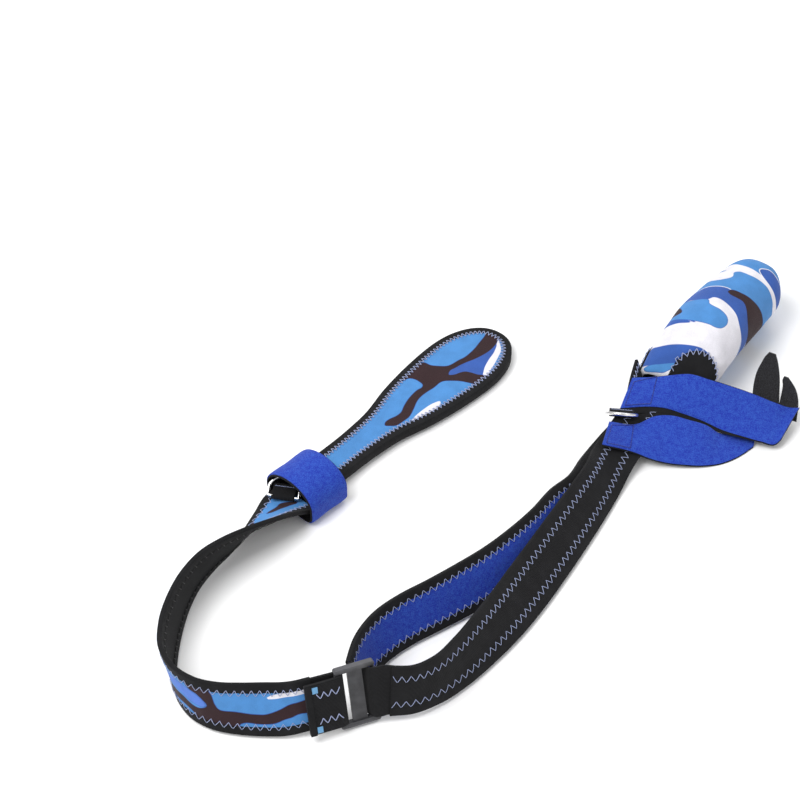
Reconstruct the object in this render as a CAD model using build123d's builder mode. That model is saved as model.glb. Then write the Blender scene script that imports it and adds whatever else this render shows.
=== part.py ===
from build123d import *
from math import cos, radians, sin
import os

# Fishing-rod carrying strap, laid out on a floor. Millimetres, +Z up, floor at Z = 0.
# The layout is drawn about a working point and moved so that the origin is at the
# middle of the footprint.
SHIFT = Vector(-90, 133.4, 1)

STRAP_W = 50.0  # two-inch strap
STRAP_T = 4.5  # over the bindings
SKIN_T = 1.35  # each of the strap's two layers
BIND_W = 9.0  # binding tape, on each face
BIND_T = 0.75
GAP = 0.05  # between layers that are sewn together

WRAP_T = 1.0  # each layer of a hook-and-loop wrap
HINGE_GAP = 1.2  # between a wrap's sewn base and its free flap
WIRE_R = 1.6  # D-ring wire
RING_W = 33.0
RING_L = 24.0

CUP_WALL = 3.0
CUP_LINING = 1.0

# Routes: lower edge (x, y, z) and lean of the strap's width above the horizontal,
# towards the left of the direction of travel.
CAMO_ROUTE = [
    (-114, -128, 8, 3),
    (-126, -140, 7, 8),
    (-136, -161, 4, 26),
    (-146, -184, 2, 46),
    (-156, -205, 1, 62),
    (-171, -228, 1, 74),
    (-182, -249, 1, 83),
    (-190, -274, 1, 91),
    (-195, -304, 1, 98),
    (-197, -336, 1, 102),
    (-196, -360, 1, 101),
    (-189, -384, 1, 94),
    (-176, -402, 1, 85),
    (-158, -413, 1, 77),
    (-138, -418, 1, 71),
    (-116, -420, 1, 67),
    (-94, -420, 2, 67),
    (-79, -417, 4, 69),
    (-65, -412, 6, 72),
]
FRONT_ROUTE = [
    (-9, -402, 6, 75),
    (10, -398, 4, 78),
    (34, -385, 2, 77),
    (60, -363, 1, 69),
    (84, -337, 1, 60),
    (108, -307, 1, 51),
    (130, -274, 1, 45),
    (150, -240, 1, 45),
    (170, -204, 1, 47),
    (190, -166, 1, 49, 49),
    (206, -134, 1, 44, 46),
    (219, -108, 5, 28, 43),
    (231, -88, 10, 14, 42),
    (243, -68, 14, 8, 42),
    (254, -50, 18, 6, 42),
    (262, -38, 20, 6, 42),
]
FAR_ROUTE = [
    (-32, -387, 5, 75),
    (-31, -375, 4, 76),
    (-27, -362, 3, 74),
    (-20, -349, 2, 71),
    (-7, -333, 1, 67),
    (12, -317, 1, 65),
    (36, -301, 1, 64),
    (64, -282, 1, 61),
    (94, -260, 1, 57),
    (122, -234, 1, 54),
    (146, -208, 1, 51),
    (165, -182, 1, 50),
    (184, -160, 1, 48, 48),
    (200, -130, 1, 41, 45),
    (214, -105, 1, 26, 42),
    (227, -86, 3, 13, 42),
    (241, -67, 7, 7, 42),
    (250, -52, 10, 5, 42),
]

# Hook-and-loop wraps: near edge and far edge at each station, left to right.
UPPER_WRAP = [
    ((213, -41, 27), (228, -2, 33)),
    ((243, -37, 25), (252, -5, 37)),
    ((256, -39, 25), (266, -8, 42)),
    ((274, -44, 22), (283, -9, 44)),
    ((293, -50, 18), (302, -14, 41)),
    ((311, -57, 13), (323, -17, 35)),
    ((331, -63, 10), (346, -21, 28)),
    ((349, -68, 8), (366, -25, 21)),
    ((362, -70, 7), (382, -28, 17)),
    ((367, -66, 9), (389, -30, 19)),
]
LOWER_WRAP = [
    ((192, -94, 30), (202, -57, 26)),
    ((224, -91, 16), (230, -58, 23)),
    ((238, -94, 11), (244, -56, 24)),
    ((254, -95, 6), (260, -56, 24)),
    ((272, -96, 4), (276, -60, 22)),
    ((290, -95, 2), (294, -60, 16)),
    ((304, -92, 1), (310, -56, 9.5)),
    ((318, -86, 1), (326, -50, 5)),
    ((331, -77, 1), (341, -43, 3)),
    ((342, -67, 1), (350, -37, 2)),
]
# Hook tails: middle point and half width at each station.
UPPER_TAIL = [
    ((377, -33, 6.5), 11.0),
    ((381, -21, 19), 8.8),
    ((379, -18, 33), 7.0),
    ((374, -16, 46), 2.5),
]
LOWER_TAIL = [
    ((353.5, -38, 2.8), 7.5),
    ((357, -31, 3), 14.0),
    ((359, -17, 6), 14.0),
    ((360, -5, 21), 13.5),
    ((361, 1, 35), 11.5),
    ((362, 4, 46), 7.5),
    ((363, 6, 57), 3.0),
]

# Strap ends at the cup's mouth: low edge and high edge at each station.
FRONT_END = [
    ((268, -36, 20.5), (231, -12, 26)),
    ((283, -29, 20), (253, -9, 30)),
    ((297, -22, 20), (275, -8, 34)),
]
FAR_END = [
    ((254, -44, 9.5), (217, -22, 14)),
    ((247, -22, 4), (220, -3, 24)),
    ((238, 14, 3), (233, 17, 31)),
]

# Butt cup: centre, heading in degrees, half width, half height.
CUP_STATIONS = [
    ((266, 0, 16.5), 58.0, 35.0, 14.5),
    ((279, 17, 29), 55.0, 37.5, 27.0),
    ((294, 38, 38), 52.0, 38.0, 37.5),
    ((355, 125, 34.5), 52.0, 34.5, 34.0),
]

BUCKLE_AT = (-34, -405, 6)
BUCKLE_YAW = 21.0
BUCKLE_LEAN = 73.0
BUCKLE_L = 36.0
BAR_R = 2.0
RAIL_T = 4.2

# Tip cover: distance along it and half width.
TIP_AT = (-91, -132, 4.6)
TIP_YAW = 49.0
TIP_SLOPE = -0.8
NECK_HALF = 19.0
NECK_END = 60.0
FOLD_GAP = 1.2  # between the neck and the part of the cover that folds
TIP_PROFILE = [
    (NECK_END + FOLD_GAP, NECK_HALF),
    (86, 20.0),
    (112, 22.5),
    (150, 31.5),
    (190, 37.5),
    (230, 40.0),
]
TIP_CAP = [(262, 35.5), (284, 23.0)]
TIP_LENGTH = 294.0
PANEL_T = 2.0  # each of the tip cover's two panels
POCKET = 5.0  # between them

TIP_WRAP_AT = (-104, -153, 18)
TIP_WRAP_YAW = 46.5
TIP_WRAP_L = 48.0
TIP_WRAP_HALF = (31.0, 22.5)
TIP_WRAP_FLOOR = 17.5  # from its axis down to its flat underside
TIP_WRAP_CORNER = 8.0


def moved(point):
    return Vector(*point) + SHIFT


def edges_of(route):
    """Lower and upper edge points of a strap laid along a route."""
    lows = [moved(p[:3]) for p in route]
    pairs = []
    for i, (low, stop) in enumerate(zip(lows, route)):
        ahead = lows[min(i + 1, len(lows) - 1)] - lows[max(i - 1, 0)]
        along = ahead.normalized()
        left = Vector(0, 0, 1).cross(along).normalized()
        up = along.cross(left)
        lean = radians(stop[3])
        width = stop[4] if len(stop) > 4 else STRAP_W
        pairs.append((low, low + (left * cos(lean) + up * sin(lean)) * width))
    return pairs


def planes_of(pairs):
    """A section plane at each station: x across the strap from its low edge, y inwards."""
    planes = []
    for i, (low, high) in enumerate(pairs):
        before = pairs[max(i - 1, 0)]
        after = pairs[min(i + 1, len(pairs) - 1)]
        along = (after[0] + after[1]) - (before[0] + before[1])
        across = (high - low).normalized()
        along = (along - across * along.dot(across)).normalized()
        planes.append(Plane(origin=low, x_dir=across, z_dir=along * -1))
    return planes


def band(pairs, profile):
    """Lofts a profile, a function of the strap's width, through the stations."""
    with BuildPart() as strip:
        for plane, (low, high) in zip(planes_of(pairs), pairs):
            with BuildSketch(plane):
                with BuildLine():
                    Polyline(*profile((high - low).length), close=True)
                make_face()
        loft(ruled=True)
    return strip.part


def layer(inset, low, high):
    """A flat layer between two depths, a given distance inside both edges."""
    return lambda width: [(inset, low), (width - inset, low), (width - inset, high), (inset, high)]


def hem(width, upper):
    """A binding tape folded over an edge, open towards the middle of the strap."""
    edge, inwards = (width, -1) if upper else (0.0, 1)
    outer = STRAP_T / 2
    inner = outer - BIND_T
    tip = edge + inwards * BIND_W
    web = edge + inwards * BIND_T
    return [
        (tip, outer),
        (edge, outer),
        (edge, -outer),
        (tip, -outer),
        (tip, -inner),
        (web, -inner),
        (web, inner),
        (tip, inner),
    ]


def save(part, name):
    part.label = name
    export_step(part, f"parts/{name}.step")


def save_strap(pairs, names, face_side):
    """Exports a strap's first layer, its second and its two binding tapes."""
    inset = BIND_T + GAP
    save(band(pairs, layer(inset, GAP * face_side, SKIN_T * face_side)), names[0])
    save(band(pairs, layer(inset, -GAP * face_side, -SKIN_T * face_side)), names[1])
    low_hem = band(pairs, lambda width: hem(width, False))
    high_hem = band(pairs, lambda width: hem(width, True))
    save(Compound(children=[low_hem, high_hem]), names[2])


def tapered_pairs(stops, across):
    """Edge points of a hook tail, whose width runs along one direction."""
    across = Vector(*across).normalized()
    return [(moved(p) - across * half, moved(p) + across * half) for p, half in stops]


def cup_planes():
    planes = []
    for centre, heading, _, _ in CUP_STATIONS:
        along = Vector(cos(radians(heading)), sin(radians(heading)), 0)
        planes.append(Plane(origin=moved(centre), x_dir=Vector(0, 0, 1).cross(along) * -1, z_dir=along))
    return planes


def cup_solid(grow):
    """The cup's outside, grown or shrunk evenly, without its domed end."""
    planes = cup_planes()
    with BuildPart() as solid:
        for run in ((0, 1, 2), (2, 3)):
            for i in run:
                with BuildSketch(planes[i]):
                    Ellipse(CUP_STATIONS[i][2] + grow, CUP_STATIONS[i][3] + grow)
            loft()
    return solid.part


def cup_dome(radius):
    """Half a ball on the cup's far end."""
    end = cup_planes()[-1]
    with BuildPart() as dome:
        with Locations(Location(end)):
            Sphere(radius)
            Box(4 * radius, 4 * radius, 2 * radius, align=(Align.CENTER, Align.CENTER, Align.MAX),
                mode=Mode.SUBTRACT)
    return dome.part


def tongue(angle, width, start, length):
    """A rounded strap end as a prism that points out of the cup's axis at an angle."""
    mouth = cup_planes()[1]
    right = mouth.x_dir
    out = right * cos(radians(angle)) + Vector(0, 0, 1) * sin(radians(angle))
    root = mouth.origin
    with BuildPart() as prism:
        with BuildSketch(Plane(origin=root + out * 6, x_dir=mouth.z_dir, z_dir=out)):
            half = width / 2
            with Locations((start + (length - start - half) / 2, 0)):
                Rectangle(length - start - half, width)
            with Locations((length - half, 0)):
                Circle(half)
        extrude(amount=60)
    return prism.part


def on_cup(prism, low, high):
    """The part of a prism that lies between two skins of the cup."""
    return (cup_solid(high) - cup_solid(low)) & prism


def d_ring(plane):
    """A wire D: straight bar on the plane's x axis, bow towards its y axis."""
    half = RING_W / 2 - WIRE_R
    deep = RING_L - 2 * WIRE_R
    with BuildPart() as ring:
        with BuildLine(plane):
            bar = Line((-half, 0), (half, 0))
            right = Line(bar @ 1, (half, deep - half * 0.75))
            bow = ThreePointArc(right @ 1, (0, deep), (-half, deep - half * 0.75))
            Line(bow @ 1, bar @ 0)
        with BuildSketch(Plane(origin=plane.from_local_coords((0, 0, 0)), x_dir=plane.y_dir,
                               z_dir=plane.x_dir)):
            Circle(WIRE_R)
        sweep(transition=Transition.ROUND)
    return ring.part


def ring_tab(plane, width, tail):
    """A webbing tab folded round a ring's bar, its two tails pressed together on y."""
    inner = WIRE_R + 0.5
    outer = inner + 1.1
    with BuildPart() as tab:
        with BuildSketch(Plane(origin=plane.origin, x_dir=plane.y_dir, z_dir=plane.x_dir)):
            Circle(outer)
            Polygon((0, -outer), (tail, -1.3), (tail, 1.3), (0, outer), align=None)
            Circle(inner, mode=Mode.SUBTRACT)
        extrude(amount=width / 2, both=True)
    return tab.part


def buckle_plane():
    """x along the strap, y up its width, z out of its front, origin at the centre bar."""
    along = Vector(cos(radians(BUCKLE_YAW)), sin(radians(BUCKLE_YAW)), 0)
    left = Vector(0, 0, 1).cross(along)
    lean = radians(BUCKLE_LEAN)
    up = left * cos(lean) + Vector(0, 0, 1) * sin(lean)
    root = moved(BUCKLE_AT) + up * STRAP_W / 2
    return Plane(origin=root, x_dir=along, z_dir=along.cross(up))


def slide_buckle():
    plane = buckle_plane()
    reach = STRAP_W / 2 + 0.6
    side_bar = BUCKLE_L / 2 - BAR_R
    with BuildPart() as buckle:
        for end in (-1, 1):
            with BuildSketch(plane):
                with Locations((0, end * (reach + RAIL_T / 2))):
                    RectangleRounded(BUCKLE_L, RAIL_T, 2.0)
            extrude(amount=3.0, both=True)
        with BuildSketch(plane):
            Rectangle(13.0, 2 * reach + 2)
        extrude(amount=1.5, both=True)
        for end in (-1, 1):
            foot = plane.from_local_coords((end * side_bar, -reach - 1, 0))
            with BuildSketch(Plane(origin=foot, x_dir=plane.x_dir, z_dir=plane.y_dir)):
                Circle(BAR_R)
            extrude(amount=2 * reach + 2)
    return buckle.part


def local_pairs(plane, stops):
    """Edge points of a strap that turns round a bar, from (along, out) points."""
    half = plane.y_dir * (STRAP_W / 2)
    centres = [plane.from_local_coords((along, 0, out)) for along, out in stops]
    return [(c - half, c + half) for c in centres]


def tip_plane(height):
    """The tip cover's plane: x towards its rounded end, which dips to the floor."""
    along = Vector(cos(radians(TIP_YAW)), sin(radians(TIP_YAW)), sin(radians(TIP_SLOPE)))
    side = Vector(0, 0, 1).cross(along)
    up = along.cross(side).normalized()
    return Plane(origin=moved(TIP_AT) + up * height, x_dir=along, z_dir=up)


def tip_sheet(height, thick, inset, start=0.0):
    """A layer of the tip cover, a given distance inside its outline."""
    sides = [(s, half - inset) for s, half in TIP_PROFILE]
    sides[0] = (sides[0][0] + start, sides[0][1])
    cap = [(s - inset * 0.6, half - inset * 0.8) for s, half in TIP_CAP]
    round_end = sides[-1:] + cap + [(TIP_LENGTH - inset, 0)]
    round_end += [(s, -half) for s, half in reversed(sides[-1:] + cap)]
    with BuildPart() as sheet:
        with BuildSketch(tip_plane(height)):
            with BuildLine():
                Line((sides[0][0], -sides[0][1]), sides[0])
                Spline(*sides, tangents=[(1, 0), (1, 0)])
                Spline(*round_end, tangents=[(1, 0), (-1, 0)])
                Spline(*[(s, -half) for s, half in reversed(sides)], tangents=[(-1, 0), (-1, 0)])
            make_face()
        extrude(amount=thick)
    return sheet.part


def neck_sheet(height, thick, low, high):
    """A strip of the cover's neck between two distances from its middle."""
    with BuildPart() as strip:
        with BuildSketch(tip_plane(height)):
            with Locations((NECK_END / 2, (low + high) / 2)):
                Rectangle(NECK_END, high - low)
        extrude(amount=thick)
    return strip.part


def paddle_binding():
    """Tape along the cover's rim: its side wall and a flat border on top."""
    wall = tip_sheet(-0.4, 9.8, 0) - tip_sheet(-0.5, 10.0, 1.15, start=-1)
    border = tip_sheet(9.05, 0.6, 1.2) - tip_sheet(9.0, 0.7, 8.0, start=-1)
    return wall, border


def tip_wrap_section(grow):
    """An arch on a flat base with rounded corners."""
    wide, high = TIP_WRAP_HALF
    base = TIP_WRAP_FLOOR + TIP_WRAP_CORNER + 2 * grow
    Ellipse(wide + grow, high + grow)
    with Locations((0, -high)):
        Rectangle(4 * wide, 2 * high, mode=Mode.SUBTRACT)
    with Locations((0, base / 2 - TIP_WRAP_FLOOR - grow)):
        RectangleRounded(2 * (wide + grow), base, TIP_WRAP_CORNER + grow)


def tip_wrap_ring(grow_out, grow_in):
    """A tube with the tip wrap's axis, between two offsets from its outside."""
    along = Vector(cos(radians(TIP_WRAP_YAW)), sin(radians(TIP_WRAP_YAW)), 0)
    side = Vector(0, 0, 1).cross(along) * -1
    with BuildPart() as ring:
        with BuildSketch(Plane(origin=moved(TIP_WRAP_AT), x_dir=side, z_dir=along * -1)):
            tip_wrap_section(grow_out)
            with BuildSketch(mode=Mode.SUBTRACT):
                tip_wrap_section(grow_in)
        extrude(amount=-TIP_WRAP_L)
    return ring.part


os.makedirs("parts", exist_ok=True)

# Camo strap from the tip ring to the buckle.
camo_pairs = edges_of(CAMO_ROUTE)
save_strap(camo_pairs, ("camo_strap_face", "camo_strap_back", "camo_strap_bindings"), -1)

# Shoulder loop: front run and far run.
front_pairs = edges_of(FRONT_ROUTE)
save_strap(front_pairs, ("front_strap_webbing", "front_strap_lining", "front_strap_bindings"), -1)
far_pairs = edges_of(FAR_ROUTE)
save_strap(far_pairs, ("far_strap_webbing", "far_strap_lining", "far_strap_bindings"), 1)

# The camo strap's end, folded round the buckle's near bar and sewn down on its front.
side = BUCKLE_L / 2 - BAR_R
turn = BAR_R + 0.4 + 1.7
fold = local_pairs(buckle_plane(), [
    (-side - 14, -turn - 0.8),
    (-side - 4, -turn - 0.2),
    (-side, -turn),
    (-side + 2.9, -turn + 1.2),
    (-side + turn, 0),
    (-side + 2.9, turn - 1.2),
    (-side, turn),
    (-side - 6, turn + 0.2),
    (-side - 16, turn + 0.2),
    (-side - 30, turn - 0.4),
])
save(band(fold, layer(0, -1.7, 1.7)), "strap_end_fold")
tape = [fold[-1], (fold[-1][0] + (fold[-2][0] - fold[-1][0]) * 0.4,
                   fold[-1][1] + (fold[-2][1] - fold[-1][1]) * 0.4)]
save(band(tape, layer(-0.5, 1.75, 2.6)), "strap_end_tape")

# The loop strap's turn through the buckle's far slot.
clear = BAR_R + 2.4 + 1.4
through = local_pairs(buckle_plane(), [
    (side + 7.6, clear + 0.3),
    (side + 1, clear),
    (side - 3.0, clear - 1.4),
    (side - 5.2, 0.6),
    (side - 7.0, -4.4),
])
onwards = (far_pairs[1][0] - far_pairs[0][0]).normalized()
through.append(tuple(edge - onwards * 1.6 for edge in far_pairs[0]))
save(band(through, layer(0, -1.4, 1.4)), "loop_strap_turn")

# Hook-and-loop wraps.
wraps = (("upper_wrap", UPPER_WRAP, UPPER_TAIL), ("lower_wrap", LOWER_WRAP, LOWER_TAIL))
for name, stations, tail in wraps:
    pairs = [(moved(near), moved(far)) for near, far in stations]
    seam = [a + (b - a).normalized() * HINGE_GAP for a, b in zip(pairs[1], pairs[2])]
    save(band(pairs[:2], layer(0, 0, 2 * WRAP_T)), f"{name}_base")
    save(band([tuple(seam), *pairs[2:]], layer(0, 0, 2 * WRAP_T)), f"{name}_flap")
    save(band(tapered_pairs(tail, (0.87, -0.5, 0)), layer(0, -0.8, 0.8)), f"{name}_hook")

# The strap's two ends, where they part to either side of the cup's mouth.
front_end = [(moved(a), moved(b)) for a, b in FRONT_END]
save(band(front_end, layer(0, -1.5, 1.5)), "front_strap_end")
far_end = [(moved(a), moved(b)) for a, b in FAR_END]
save(band(far_end, layer(0, -1.5, 1.5)), "far_strap_end")

# Butt cup.
shell = cup_solid(0) - cup_solid(-CUP_WALL)
save(shell, "cup_shell")
save(cup_solid(-CUP_WALL - GAP) - cup_solid(-CUP_WALL - CUP_LINING), "cup_lining")
end_radius = CUP_STATIONS[-1][2]
save(cup_dome(end_radius) - cup_dome(end_radius - CUP_WALL), "cup_dome")
save(on_cup(tongue(32, 41, -24, 10), 0.1, 3.4), "cup_front_patch")
save(on_cup(tongue(205, 40, -24, 12), 0.1, 4.4), "cup_side_patch")

save(slide_buckle(), "slide_buckle")

# D-rings and their tabs.
cup_ring = Plane(origin=moved((214, -48.5, 26.8)), x_dir=(0.99, -0.12, 0), z_dir=(-0.08, -0.66, -0.73))
save(d_ring(cup_ring), "cup_d_ring")
cup_tab = Plane(origin=cup_ring.origin, x_dir=cup_ring.x_dir, z_dir=(0.02, 0.15, 0.99))
save(ring_tab(cup_tab, 24, 7), "cup_ring_tab")
tip_ring = Plane(origin=moved((-109.4, -151, 17)), x_dir=(0.98, -0.18, 0), z_dir=(-0.08, -0.44, 0.89))
save(d_ring(tip_ring), "tip_d_ring")
tip_tab = Plane(origin=tip_ring.origin, x_dir=tip_ring.x_dir, z_dir=(-0.03, -0.17, 0.98))
save(ring_tab(tip_tab, 22, 14), "tip_ring_tab")

# Tip cover and its wrap.
save(tip_sheet(0, PANEL_T, 1.2), "tip_cover_bottom")
save(tip_sheet(PANEL_T + POCKET, PANEL_T, 1.2), "tip_cover_top")
save(Compound(children=list(paddle_binding())), "tip_cover_binding")
inner_half = NECK_HALF - 1.2
save(neck_sheet(0, PANEL_T, -inner_half, inner_half), "tip_neck_bottom")
save(neck_sheet(PANEL_T + POCKET, PANEL_T, -inner_half, inner_half), "tip_neck_top")
tapes = [
    neck_sheet(-0.4, 9.8, inner_half + GAP, NECK_HALF),
    neck_sheet(-0.4, 9.8, -NECK_HALF, -inner_half - GAP),
]
save(Compound(children=tapes), "tip_neck_binding")
save(tip_wrap_ring(0, -1.5), "tip_wrap_band")
save(tip_wrap_ring(-1.55, -2.6), "tip_wrap_lining")
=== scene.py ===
"""Looks of a fishing-rod carrying strap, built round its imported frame."""

import logging
import math
from dataclasses import dataclass, field
from enum import Enum
from typing import Sequence

import bmesh
import bpy
import numpy as np
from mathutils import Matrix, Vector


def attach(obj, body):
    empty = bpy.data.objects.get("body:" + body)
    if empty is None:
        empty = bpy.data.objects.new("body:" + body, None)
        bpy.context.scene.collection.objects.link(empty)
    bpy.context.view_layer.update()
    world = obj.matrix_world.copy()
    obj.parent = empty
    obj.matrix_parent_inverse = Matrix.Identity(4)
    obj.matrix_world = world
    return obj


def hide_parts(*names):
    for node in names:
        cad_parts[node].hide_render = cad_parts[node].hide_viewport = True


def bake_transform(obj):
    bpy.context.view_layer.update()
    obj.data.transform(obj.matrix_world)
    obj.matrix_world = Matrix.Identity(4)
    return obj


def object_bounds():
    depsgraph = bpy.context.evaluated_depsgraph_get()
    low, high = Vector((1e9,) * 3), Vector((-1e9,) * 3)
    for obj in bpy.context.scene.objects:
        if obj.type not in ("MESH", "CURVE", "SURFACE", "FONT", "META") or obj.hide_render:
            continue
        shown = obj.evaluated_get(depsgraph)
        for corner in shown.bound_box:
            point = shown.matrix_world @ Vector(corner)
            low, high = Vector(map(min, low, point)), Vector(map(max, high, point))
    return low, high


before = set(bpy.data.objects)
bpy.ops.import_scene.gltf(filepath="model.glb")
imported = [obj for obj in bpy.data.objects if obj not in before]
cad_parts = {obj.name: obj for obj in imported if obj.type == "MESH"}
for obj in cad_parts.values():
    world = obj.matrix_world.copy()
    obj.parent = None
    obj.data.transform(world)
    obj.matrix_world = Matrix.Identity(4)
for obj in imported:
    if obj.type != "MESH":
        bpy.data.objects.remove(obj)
CAD_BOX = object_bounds()

Array = np.ndarray
Point = tuple[float, float, float]
Pair = tuple[Point, Point]
MM = 0.001
LAYOUT = np.array([-90.0, 133.4, 1.0])  # the layout's working point in the part's frame
UV_UNIT = 100.0  # millimetres of cloth to one unit of a piece's UV map
log = logging.getLogger("rod_strap")


def srgb(red: int, green: int, blue: int) -> tuple[float, float, float, float]:
    """Turns a screen colour into the linear one that shaders take.

    Args:
        red, green, blue: the screen colour's parts, 0 to 255.

    Returns:
        Linear red, green, blue and an alpha of one.
    """
    parts = [c / 255 for c in (red, green, blue)]
    return (*[c / 12.92 if c <= 0.04045 else ((c + 0.055) / 1.055) ** 2.4 for c in parts], 1.0)


class Ink(Enum):
    """The printed and dyed colours, and one painted shade for the loop pile."""

    BLACK = srgb(19, 19, 21)
    BLACK_PILE = srgb(13, 13, 15)
    SKY = srgb(74, 134, 196)
    MID_BLUE = srgb(52, 88, 164)
    PERIWINKLE = srgb(84, 122, 204)
    MAROON = srgb(46, 26, 30)
    PALE = srgb(226, 224, 231)
    PILE = srgb(46, 82, 176)
    # painted shade for the gaps between the pile's loops
    PILE_PAINTED_SHADE = srgb(22, 40, 148)
    THREAD = srgb(158, 168, 205)
    BLUE_THREAD = srgb(22, 40, 138)
    SKY_THREAD = srgb(120, 180, 225)
    CHARCOAL = srgb(40, 40, 43)


# ---------------------------------------------------------------- shaders


class Graph:
    """One material's nodes, with short ways to add and join them."""

    def __init__(self, name: str) -> None:
        """Starts a material with a Principled shader and an output."""
        self.material = bpy.data.materials.new(name)
        self.material.use_nodes = True
        self.tree = self.material.node_tree
        self.tree.nodes.clear()
        output = self.tree.nodes.new("ShaderNodeOutputMaterial")
        self.shader = self.tree.nodes.new("ShaderNodeBsdfPrincipled")
        self.join(self.shader.outputs[0], output.inputs[0])

    def join(self, source: bpy.types.NodeSocket, target: bpy.types.NodeSocket) -> None:
        """Links two sockets.

        Args:
            source: the output.
            target: the input that it feeds.
        """
        self.tree.links.new(source, target)

    def feed(self, node: bpy.types.Node, socket: str | int, value: object) -> None:
        """Gives a node's input a constant, or links it where the value is a socket.

        Args:
            node: the node.
            socket: its input's name or number.
            value: the constant or the socket.
        """
        if isinstance(value, bpy.types.NodeSocket):
            self.join(value, node.inputs[socket])
        else:
            node.inputs[socket].default_value = value

    def place(self, uv: bool, stretch: Point = (1, 1, 1)) -> bpy.types.NodeSocket:
        """Texture coordinates, stretched along each axis.

        Args:
            uv: the piece's own UV map if true, else its object coordinates.
            stretch: how many times denser each axis becomes.

        Returns:
            The stretched coordinates.
        """
        source = self.tree.nodes.new("ShaderNodeTexCoord")
        mapping = self.tree.nodes.new("ShaderNodeMapping")
        mapping.inputs["Scale"].default_value = stretch
        self.join(source.outputs["UV" if uv else "Object"], mapping.inputs["Vector"])
        return mapping.outputs[0]

    def noise(self, size: float, detail: float = 2.0, uv: bool = False,
              stretch: Point = (1, 1, 1)) -> bpy.types.NodeSocket:
        """Soft noise whose lumps are about a size, in millimetres.

        Args:
            size: the lumps' size.
            detail: octaves.
            uv: whether it follows the cloth's own map.
            stretch: how many times denser each axis becomes.

        Returns:
            The noise, 0 to 1.
        """
        node = self.tree.nodes.new("ShaderNodeTexNoise")
        node.inputs["Scale"].default_value = UV_UNIT / size if uv else 1 / (size * MM)
        node.inputs["Detail"].default_value = detail
        self.join(self.place(uv, stretch), node.inputs["Vector"])
        return node.outputs["Fac"]

    def ribs(self, pitch: float, axis: str, wander: float = 0.6) -> bpy.types.NodeSocket:
        """Parallel ribs along the cloth's map.

        Args:
            pitch: from rib to rib, in millimetres.
            axis: "X" for ribs that follow the strip, "Y" for ribs across it.
            wander: how far the ribs stray.

        Returns:
            The ribs' height, 0 to 1.
        """
        node = self.tree.nodes.new("ShaderNodeTexWave")
        node.bands_direction = axis
        node.inputs["Scale"].default_value = 0.314 * UV_UNIT / pitch
        node.inputs["Distortion"].default_value = wander
        node.inputs["Detail"].default_value = 2.0
        node.inputs["Detail Scale"].default_value = 1.5
        self.join(self.place(True), node.inputs["Vector"])
        return node.outputs["Fac"]

    def math(self, step: str, first: object, second: object = 0.0) -> bpy.types.NodeSocket:
        """One Math node.

        Args:
            step: the operation.
            first, second: its inputs, constants or sockets.

        Returns:
            The result.
        """
        node = self.tree.nodes.new("ShaderNodeMath")
        node.operation = step
        self.feed(node, 0, first)
        self.feed(node, 1, second)
        return node.outputs[0]

    def ramp(self, value: object, low: float, high: float, to_low: float = 0.0,
             to_high: float = 1.0) -> bpy.types.NodeSocket:
        """Maps a value smoothly from one range to another.

        Args:
            value: the socket to map.
            low, high: the range that it comes from.
            to_low, to_high: the range that it goes to.

        Returns:
            The mapped value.
        """
        node = self.tree.nodes.new("ShaderNodeMapRange")
        node.interpolation_type = "SMOOTHSTEP"
        for socket, entry in enumerate((value, low, high, to_low, to_high)):
            self.feed(node, socket, entry)
        return node.outputs[0]

    def mix(self, share: object, first: object, second: object) -> bpy.types.NodeSocket:
        """Mixes two colours.

        Args:
            share: how much of the second, 0 to 1.
            first, second: the colours.

        Returns:
            The mixed colour.
        """
        node = self.tree.nodes.new("ShaderNodeMix")
        node.data_type = "RGBA"
        self.feed(node, 0, share)
        self.feed(node, 6, first)
        self.feed(node, 7, second)
        return node.outputs[2]

    def attribute(self, name: str) -> bpy.types.NodeSocket:
        """A number kept on the mesh's points."""
        node = self.tree.nodes.new("ShaderNodeAttribute")
        node.attribute_name = name
        return node.outputs["Fac"]

    def bump(self, *heights: tuple[object, float]) -> None:
        """Feeds the shader's normal from layers of relief.

        Args:
            heights: for each layer its height, 0 to 1, and its depth in millimetres.
        """
        normal = None
        for height, depth in heights:
            node = self.tree.nodes.new("ShaderNodeBump")
            node.inputs["Strength"].default_value = 1.0
            node.inputs["Distance"].default_value = depth * MM
            self.join(height, node.inputs["Height"])
            if normal is not None:
                self.join(normal, node.inputs["Normal"])
            normal = node.outputs[0]
        self.join(normal, self.shader.inputs["Normal"])

    def surface(self, colour: object, roughness: float, sheen: float = 0.0,
                metallic: float = 0.0, gloss: float = 0.5) -> bpy.types.Material:
        """Sets the shader and gives the finished material.

        Args:
            colour: a constant or a socket.
            roughness: of the surface.
            sheen: weight of the fibre sheen.
            metallic: 1 for bare metal.
            gloss: the specular level.

        Returns:
            The material.
        """
        self.feed(self.shader, "Base Color", colour)
        self.shader.inputs["Roughness"].default_value = roughness
        self.shader.inputs["Sheen Weight"].default_value = sheen
        self.shader.inputs["Sheen Roughness"].default_value = 0.45
        self.shader.inputs["Metallic"].default_value = metallic
        self.shader.inputs["Specular IOR Level"].default_value = gloss
        return self.material


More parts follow.
